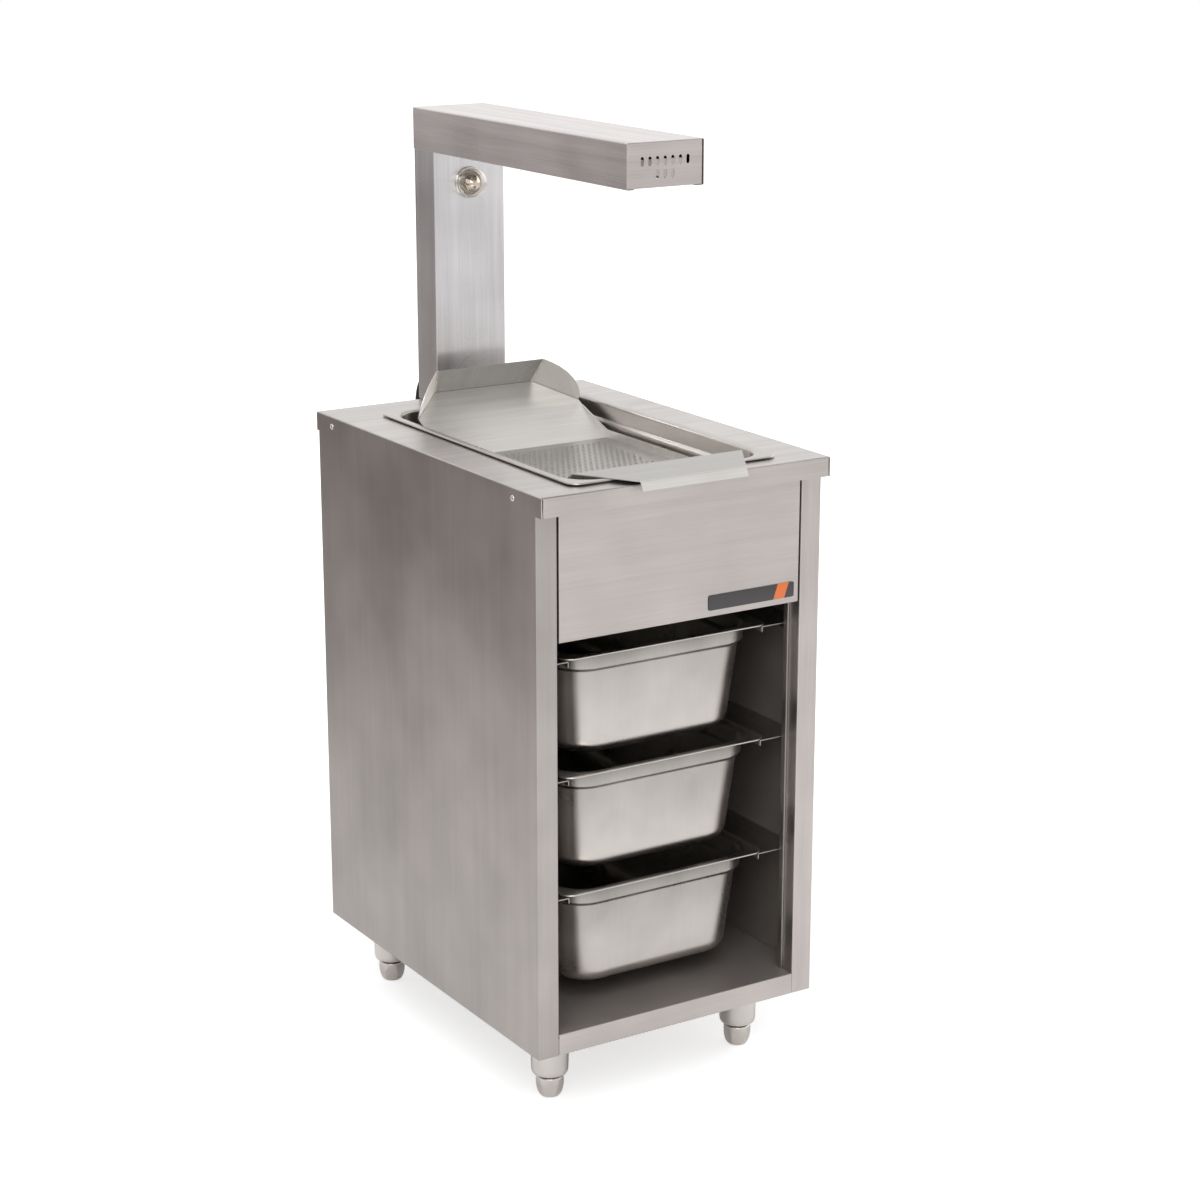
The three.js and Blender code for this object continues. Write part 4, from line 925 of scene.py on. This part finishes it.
def hole_places():
    """A staggered field: rows a pitch times 0.866 apart, every second one moved half a pitch."""
    rows = np.arange(*FIELD_ENDS, FLOOR_HOLE_PITCH * 0.866)
    columns = np.arange(-FIELD_HALF_WIDTH, FIELD_HALF_WIDTH + 0.1, FLOOR_HOLE_PITCH)
    x, y = np.meshgrid(columns, rows)
    x = x + np.where(np.arange(len(rows)) % 2, FLOOR_HOLE_PITCH / 2, 0)[:, None]
    keep = np.abs(x) <= FIELD_HALF_WIDTH
    return np.stack([x[keep], y[keep]], axis=1)


def hole_cutter():
    """Ten-sided prisms through the floor's flat part, which lies over the pan."""
    low = box_mm("chute_floor")[0]
    outline = FLOOR_HOLE / 2 * circle(10, (1, 0), (0, 1))
    return prisms("floor_holes", outline, hole_places(), *(low[2] + end for end in HOLE_CUT))


chute_floor = dress(
    cut_sheet("chute_floor", THIN_EASE, hole_cutter()), chute_steel, "brushed_sheet", "chute_floor")
# The level parts get a darker copy of the chute's steel, which is painted shade
refinish(chute_floor, level_shade_steel, Z, least=0.97)

# Seams of the chute, from the source's sizes: the fold's end and the back wall's upper corner
CHUTE_FOLD = (80.5, 231.0, 902.2)
CHUTE_TOP = (88.0, 207.85, 937.84)
BEAD_RADIUS = 0.9
BEAD_RIPPLE = 1.6
BEAD_PLACE = (-0.4, -0.5, 0.3)  # from the seam on the right, inwards, forwards and up


def weld_bead(name, start, stop):
    """A round bead along a straight seam: its radius swells and falls by a seventh each ripple, and tapers to
    nothing at both ends."""
    length = np.linalg.norm(stop - start)
    way = (stop - start) / length
    side = np.cross(way, [0.0, 0.0, 1.0])
    side /= np.linalg.norm(side)
    s = np.linspace(0, 1, int(length / BEAD_RIPPLE * 6))
    swell = BEAD_RADIUS * (0.9 + 0.14 * np.cos(s * length / BEAD_RIPPLE * 2 * math.pi))
    swell = swell * np.sqrt(np.clip(np.minimum(s, 1 - s) * length / BEAD_RADIUS, 0, 1))
    points = revolved(
        np.stack([swell, s * length], axis=1), start, way, circle(12, side, np.cross(side, way)))
    return link(skin(name, points * MM, ends=False))


for side, way in SIDES:
    seam = [(np.array(point) + BEAD_PLACE) * [way, 1, 1] for point in (CHUTE_FOLD, CHUTE_TOP)]
    dress(weld_bead(f"chute_corner_weld_{side}", *seam), bead_steel, "brushed_sheet", body="dump_chute")

# Hood end: a cap with two rows of plain upright vents, seven over three
VENT_WIDTH = 4.6
VENT_HEIGHT = 12.0
VENT_PITCH = 11.6
VENT_CUT = 4  # the cutter's reach each side of the cap's outer face
VENT_ROWS = ((3, 1275.1), (1, 1258.3))  # the vents each side of the middle one, and the row's height


def vent_cutter():
    """Slots with round ends, two half circles a straight side apart, as prisms turned to lie along Y."""
    low = box_mm("hood_end_cap")[0]
    angle = np.linspace(0, math.pi, 6)
    upper = np.stack([np.cos(angle), np.sin(angle)], axis=1) * VENT_WIDTH / 2
    upper = upper + [0, (VENT_HEIGHT - VENT_WIDTH) / 2]
    places = [(k * VENT_PITCH, height) for each, height in VENT_ROWS for k in range(-each, each + 1)]
    outline = np.concatenate([upper, -upper])
    mesh = prisms("end_vents", outline, places, low[1] - VENT_CUT, low[1] + VENT_CUT)
    mesh.vertices.foreach_set("co", read(mesh.vertices, "co", 3)[:, [X, Z, Y]].ravel())
    merged(mesh)
    return mesh


dress(cut_sheet("hood_end_cap", THIN_EASE, vent_cutter()), shaded_cap_steel, "brushed_sheet", "hood_end_cap")


def solid_copy(node, name, ease, material, slot):
    """A small moulded or fired piece: the CAD solid with its edges eased."""
    dress(sheet_copy(node, Z, ease * MM, name), material, slot, node)


# Heater under the hood
def heater_rod():
    """A sheathed tube with swaged ends and terminal pins, revolved about Y."""
    low, _, middle, size = box_mm("heater_element")
    radius, length = size[0] / 2, size[1]
    profile = softened([
        (0, 0), (1.6, 0), (1.6, 6), (radius - 0.4, 6), (radius, 7), (radius, length - 7),
        (radius - 0.4, length - 6), (1.6, length - 6), (1.6, length), (0, length),
    ], 0.4, steps=3)
    return turned("heater_rod", profile, (middle[0], low[1], middle[2]), (0, 1, 0), 40, sharp=45)


dress(heater_rod(), element_sheath, "element_sheath", "heater_element")
for end in ("front", "rear"):
    solid_copy(f"element_holder_{end}", f"ceramic_holder_{end}", 0.8, holder_ceramic, "holder_ceramic")

# Lamp: profiles as (radius, distance in front of the column)
LAMP_Z = 1194.5
COLUMN_FRONT = 266.0
GLOBE_RADIUS = 21.0
GLOBE_REACH = 10.5
GLOBE_WALL = 1.6
BULB_RADIUS = 12
BULB_REACH = 9
LAMP_GAP = 0.3  # between the column and the lamp's glass, ring and bulb


def ball_profile(radius, middle, steps=24):
    """The arc of a ball from the gap's plane in front of the column to its foremost point."""
    angle = np.linspace(math.asin((LAMP_GAP - middle) / radius), math.pi / 2, steps)
    return np.stack([radius * np.cos(angle), middle + radius * np.sin(angle)], axis=1)


LAMP_PIECES = [
    ("lamp_glass_globe", np.concatenate([
        ball_profile(GLOBE_RADIUS - GLOBE_WALL, GLOBE_REACH)[::-1], ball_profile(GLOBE_RADIUS, GLOBE_REACH),
    ]), 72, lamp_glass, "lamp_glass", "lamp_globe"),
    ("lamp_ring", softened([
        (19.46, LAMP_GAP), (22.5, LAMP_GAP), (22.5, 1.2), (21.6, 1.8), (19.46, 1.8), (19.46, LAMP_GAP),
    ], [0.2, 0.5, 0.5, 0.3]), 72, chrome, "bright_steel", "lamp_bezel"),
    ("lamp_silvered_bulb", np.concatenate([
        softened([(0, -18), (7.4, -18), (8, -17.2), (8, 0.06)], 0.4, steps=3),
        ball_profile(BULB_RADIUS, BULB_REACH, 20),
    ]), 48, bulb_coating, "lamp_glass", "lamp_bulb"),
    ("lamp_porcelain_socket", softened([
        (8.3, -1.3), (20, -1.3), (20, -3.1), (13.3, -3.1), (13.3, -32), (12, -34.3), (0, -34.3), (0, -18.3),
        (8.3, -18.3), (8.3, -1.3),
    ], [0.4, 0.5, 0.5, 1.0, 1.0, 0.2, 0.2, 0.3], steps=3),
        48, holder_ceramic, "holder_ceramic", "lamp_holder"),
]
for name, profile, steps, material, slot, node in LAMP_PIECES:
    dress(turned(name, profile, (0, COLUMN_FRONT, LAMP_Z), (0, -1, 0), steps), material, slot, node)

# Rocker switch and terminals
solid_copy("switch_housing", "switch_bezel", 0.6, black_nylon, "black_plastic")
solid_copy("rocker_button", "rocker_paddle", 0.9, rocker_plastic, "black_plastic")
solid_copy("terminal_block", "terminal_block_body", 0.7, terminal_nylon, "black_plastic")


# Badge
def badge():
    """A thin plate with round corners: round rectangles from its back to its face, each smaller than the
    plate by twice the inset."""
    low, high, middle, size = box_mm("badge_plate")
    half = size / 2
    inset = np.array([0.3, 0, 0, 0.15, 0.5])
    depth = np.array([high[1], high[1] - 0.3, low[1] + 0.4, low[1] + 0.1, low[1]])
    x, z = round_rectangle(half[0] - inset, half[2] - inset, 3.0 - inset, 8)
    points = np.stack([middle[0] + x, np.broadcast_to(depth[:, None], x.shape), middle[2] + z], axis=-1)
    return crisp(skin("badge_printed_plate", points * MM), 40)


dress(badge(), badge_print, "badge_plate", "badge_plate")

# Strain relief
RELIEF_ROOT = 8.0
RELIEF_TIP = 5.4
RELIEF_RIBS = 7
RELIEF_RIB_DEPTH = 0.55
RELIEF_NECK = 7
RELIEF_FLANGE = 2.7


def gland():
    """A flange and a tapered sleeve with ribs: the radius falls evenly, with a groove at each rib's foot."""
    low, high, middle, _ = box_mm("strain_relief")
    neck = low[1] + RELIEF_NECK
    flange = neck + RELIEF_FLANGE
    s = np.linspace(0, 1, RELIEF_RIBS * 10)
    taper = RELIEF_ROOT + (RELIEF_TIP - RELIEF_ROOT) * s
    grooves = np.clip(np.cos(s * RELIEF_RIBS * 2 * math.pi), 0, 1) ** 0.6 * np.sin(math.pi * s) ** 0.3
    sleeve = np.stack([taper - RELIEF_RIB_DEPTH * grooves, flange + (high[1] - flange) * s], axis=1)
    head = softened([
        (0, low[1]), (7, low[1]), (7, neck), (9.5, neck), (9.5, flange - 0.2), (8.6, flange)],
        [0.5, 0.3, 0.6, 0.8])
    mouth = softened([(RELIEF_TIP, high[1]), (RELIEF_TIP - 0.8, high[1]), (0, high[1])], 0.3, steps=3)
    profile = np.concatenate([head, sleeve, mouth])
    return turned("strain_relief_gland", profile, (middle[0], 0, middle[2]), (0, 1, 0), 56)


relief = dress(gland(), black_nylon, "black_plastic", "strain_relief")

# Plug
PLUG_GAP = 0.3  # from the lead's end
PLUG_NECK = 6.5
PLUG_RIB = 0.45
PLUG_RIB_PITCH = 2.2
PLUG_WIDTH = 32.0
PLUG_THICKNESS = 25.0
PLUG_PINS = ((-9.5, -2.5), (9.5, -2.5), (0, 5))  # sideways and up from the plug's middle


def plug_frame():
    """The plug's own directions, side, up and forward, and its origin at the end of the lead."""
    before, end = LEAD_ROUTE[-2:]
    forward = (end - before) / np.linalg.norm(end - before)
    side = np.cross([0.0, 0.0, 1.0], forward)
    side /= np.linalg.norm(side)
    return side, np.cross(forward, side), forward, end + PLUG_GAP * forward


def plug_body():
    """Superellipses along the plug: half sizes grow from the ribbed neck to the body in a smooth step, and
    the corners square off on the way."""
    side, up, forward, origin = plug_frame()
    w = np.concatenate([
        [0.0, 0.15, 0.6], np.linspace(1.2, 12, 28), np.linspace(12.4, 20, 14), np.linspace(21, 42.4, 14),
        [43.2, 43.8, 44.0, 44.0]])
    t = np.clip((w - 11) / 8, 0, 1)
    step = t * t * (3 - 2 * t)
    ribs = np.where(w < 11.5, PLUG_RIB * np.cos(w / PLUG_RIB_PITCH * 2 * math.pi), 0)
    end = np.concatenate([[0.75, 0.93, 1.0], np.ones(len(w) - 7), [0.985, 0.95, 0.9, 0.3]])
    neck = PLUG_NECK - PLUG_RIB
    half_u, half_v = (
        ((neck + ribs + (size / 2 - neck) * step) * end)[:, None] for size in (PLUG_WIDTH, PLUG_THICKNESS))
    power = (1 - 0.45 * step)[:, None]
    c, s = circle(72, (1, 0), (0, 1)).T[:, None]
    u = half_u * np.sign(c) * np.abs(c) ** power
    v = half_v * np.sign(s) * np.abs(s) ** power
    points = origin + u[..., None] * side + v[..., None] * up + w[:, None, None] * forward
    return crisp(skin("plug_body", points * MM), 60)


def plug_pins():
    """Two round pins and an earth pin with rounded tips, in one mesh."""
    side, up, forward, origin = plug_frame()
    profile = softened([(0, 40), (2.2, 40), (2.2, 60.4), (1.2, 62.0), (0, 62.0)], [0.1, 0.8, 0.6])
    shell = bmesh.new()
    for u, v in PLUG_PINS:
        points = revolved(profile, origin + u * side + v * up, forward, circle(24, side, up))
        pin = skin("pin", points * MM, ends=False)
        shell.from_mesh(pin)
        bpy.data.meshes.remove(pin)
    mesh = bpy.data.meshes.new("plug_pins")
    shell.to_mesh(mesh)
    shell.free()
    mesh.shade_smooth()
    return crisp(mesh, 50)


plug = dress(plug_body(), black_nylon, "black_plastic", "plug")
pins = dress(plug_pins(), chrome, "bright_steel", body="cabinet")

dress(lead, lead_sheath, "lead_sheath", "cord_drop", "cord_coil", "cord_tail")
[c * MM for c in LEAD_DROP[0]]

# Studio: places and sizes in metres, powers in watts
FLOOR_SIDE = 30.0
AIM = (0, 0, 0.7)
WHITE = (1, 1, 1, 1)
LIT_GREY = (0.66, 0.66, 0.66, 1)
WARM_EDGE = (1.0, 0.86, 0.8, 1)
ROOM_LEVEL = 0.55
BACK_LEVEL = 1.02


@as_material
def floor_paint(add, place):
    """A pale paint. The camera sees it almost white, with the object's shadow kept. In reflections it is a
    pool of light round the object, which falls off and turns warmer towards the back left."""
    ray = add("LightPath")
    axes = add("SeparateXYZ", {0: place})
    backwards = add("Math", {0: axes.outputs["Y"], 1: 0.55}, operation="MULTIPLY")
    sideways = add("Math", {0: axes.outputs["X"], 1: 0.85}, operation="MULTIPLY")
    back_left = add("Math", {0: backwards, 1: sideways}, operation="SUBTRACT")
    pool = add(
        "MapRange", {"Value": back_left, **ramp(0.2, 3.4, 1.0, 0.46)}, interpolation_type="SMOOTHSTEP")
    warm = add("Mix", {0: pool, 6: WARM_EDGE, 7: WHITE}, data_type="RGBA")
    mirrored = add("VectorMath", {0: warm, 1: pool}, operation="MULTIPLY")
    colour = add("Mix", {0: ray.outputs["Is Glossy Ray"], 6: LIT_GREY, 7: mirrored}, data_type="RGBA")
    away = add("VectorMath", {0: place}, operation="LENGTH")
    seen = add("MapRange", {"Value": away, **ramp(0.4, 2.4, 0.63, 1.0)}, interpolation_type="SMOOTHSTEP")
    # A painted glow, seen only in reflections, far off to the front right
    beyond = add("MapRange", {"Value": away, **ramp(1.5, 4.5, 0.0, 0.06)}, interpolation_type="SMOOTHSTEP")
    right = add("MapRange", {"Value": back_left, **ramp(-1.0, 0.6, 1.0, 0.0)})
    lift = add("Math", {0: beyond, 1: right}, operation="MULTIPLY")
    lift = add("Math", {0: lift, 1: ray.outputs["Is Glossy Ray"]}, operation="MULTIPLY")
    strength = add("Mix", {0: ray.outputs["Is Camera Ray"], 2: lift, 3: seen})
    paint = add("BsdfDiffuse", {"Color": colour})
    glow = add("Emission", {"Color": WHITE, "Strength": strength})
    return add("AddShader", {0: paint, 1: glow})


def studio_floor():
    half = FLOOR_SIDE / 2
    mesh = bpy.data.meshes.new("studio_floor")
    corners = [(-half, -half, 0), (half, -half, 0), (half, half, 0), (-half, half, 0)]
    mesh.from_pydata(corners, [], [(0, 1, 2, 3)])
    floor = link(mesh)
    floor.data.materials.append(floor_paint("pale_floor_paint"))
    floor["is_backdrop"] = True


def studio_room():
    """White behind the object and through glass, and a calm level for diffuse light. Reflections find it
    darker overhead in front and darker on the left."""
    world = bpy.data.worlds.new("pale_room")
    world.use_nodes = True
    world.node_tree.nodes.clear()
    add = adding_to(world.node_tree)
    ray = add("LightPath")
    clear = add(
        "Math", {0: ray.outputs["Is Camera Ray"], 1: ray.outputs["Is Transmission Ray"]}, operation="MAXIMUM")
    way = add("SeparateXYZ", {0: add("TexCoord").outputs["Generated"]})
    ceiling = add(
        "MapRange", {"Value": way.outputs["Z"], **ramp(0.42, 0.58, 1.1, 0.26)},
        interpolation_type="SMOOTHSTEP")
    backwards = add("MapRange", {"Value": way.outputs["Y"], **ramp(-0.5, 0.5, 0.0, 1.0)})
    front = add("Mix", {0: backwards, 2: ceiling, 3: BACK_LEVEL})
    left = add(
        "MapRange", {"Value": way.outputs["X"], **ramp(-0.9, 0.1, 0.55, 1.0)},
        interpolation_type="SMOOTHSTEP")
    mirrored = add("Math", {0: front, 1: left}, operation="MULTIPLY")
    lit = add("Mix", {0: ray.outputs["Is Glossy Ray"], 2: ROOM_LEVEL, 3: mirrored})
    level = add("Mix", {0: clear, 2: lit, 3: 1.0})
    background = add("Background", {"Color": WHITE, "Strength": level})
    add("OutputWorld", {"Surface": background})
    bpy.context.scene.world = world


def softbox(name, place, size, power):
    """A rectangular lamp that looks at the middle of the object."""
    light = bpy.data.lights.new(name, "AREA")
    light.shape = "RECTANGLE"
    light.size, light.size_y = size
    light.energy = power
    item = link(light)
    item.location = place
    item.rotation_euler = (Vector(AIM) - Vector(place)).to_track_quat("-Z", "Y").to_euler()


studio_floor()
studio_room()
softbox("key_softbox", (-1.9, -2.9, 3.4), (3.0, 3.0), 95)
softbox("top_softbox", (-0.9, 0.9, 4.2), (3.8, 3.8), 25)
softbox("right_softbox", (3.3, -0.4, 2.4), (3.4, 2.6), 26)

bpy.context.scene.view_settings.view_transform = "Standard"


def write_sizes():
    """Both boxes as plain lists, which are not used further."""
    boxes = {"cad": cad_box, "visual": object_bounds()}
    plain = {name: [[float(c) for c in corner] for corner in box] for name, box in boxes.items()}


write_sizes()
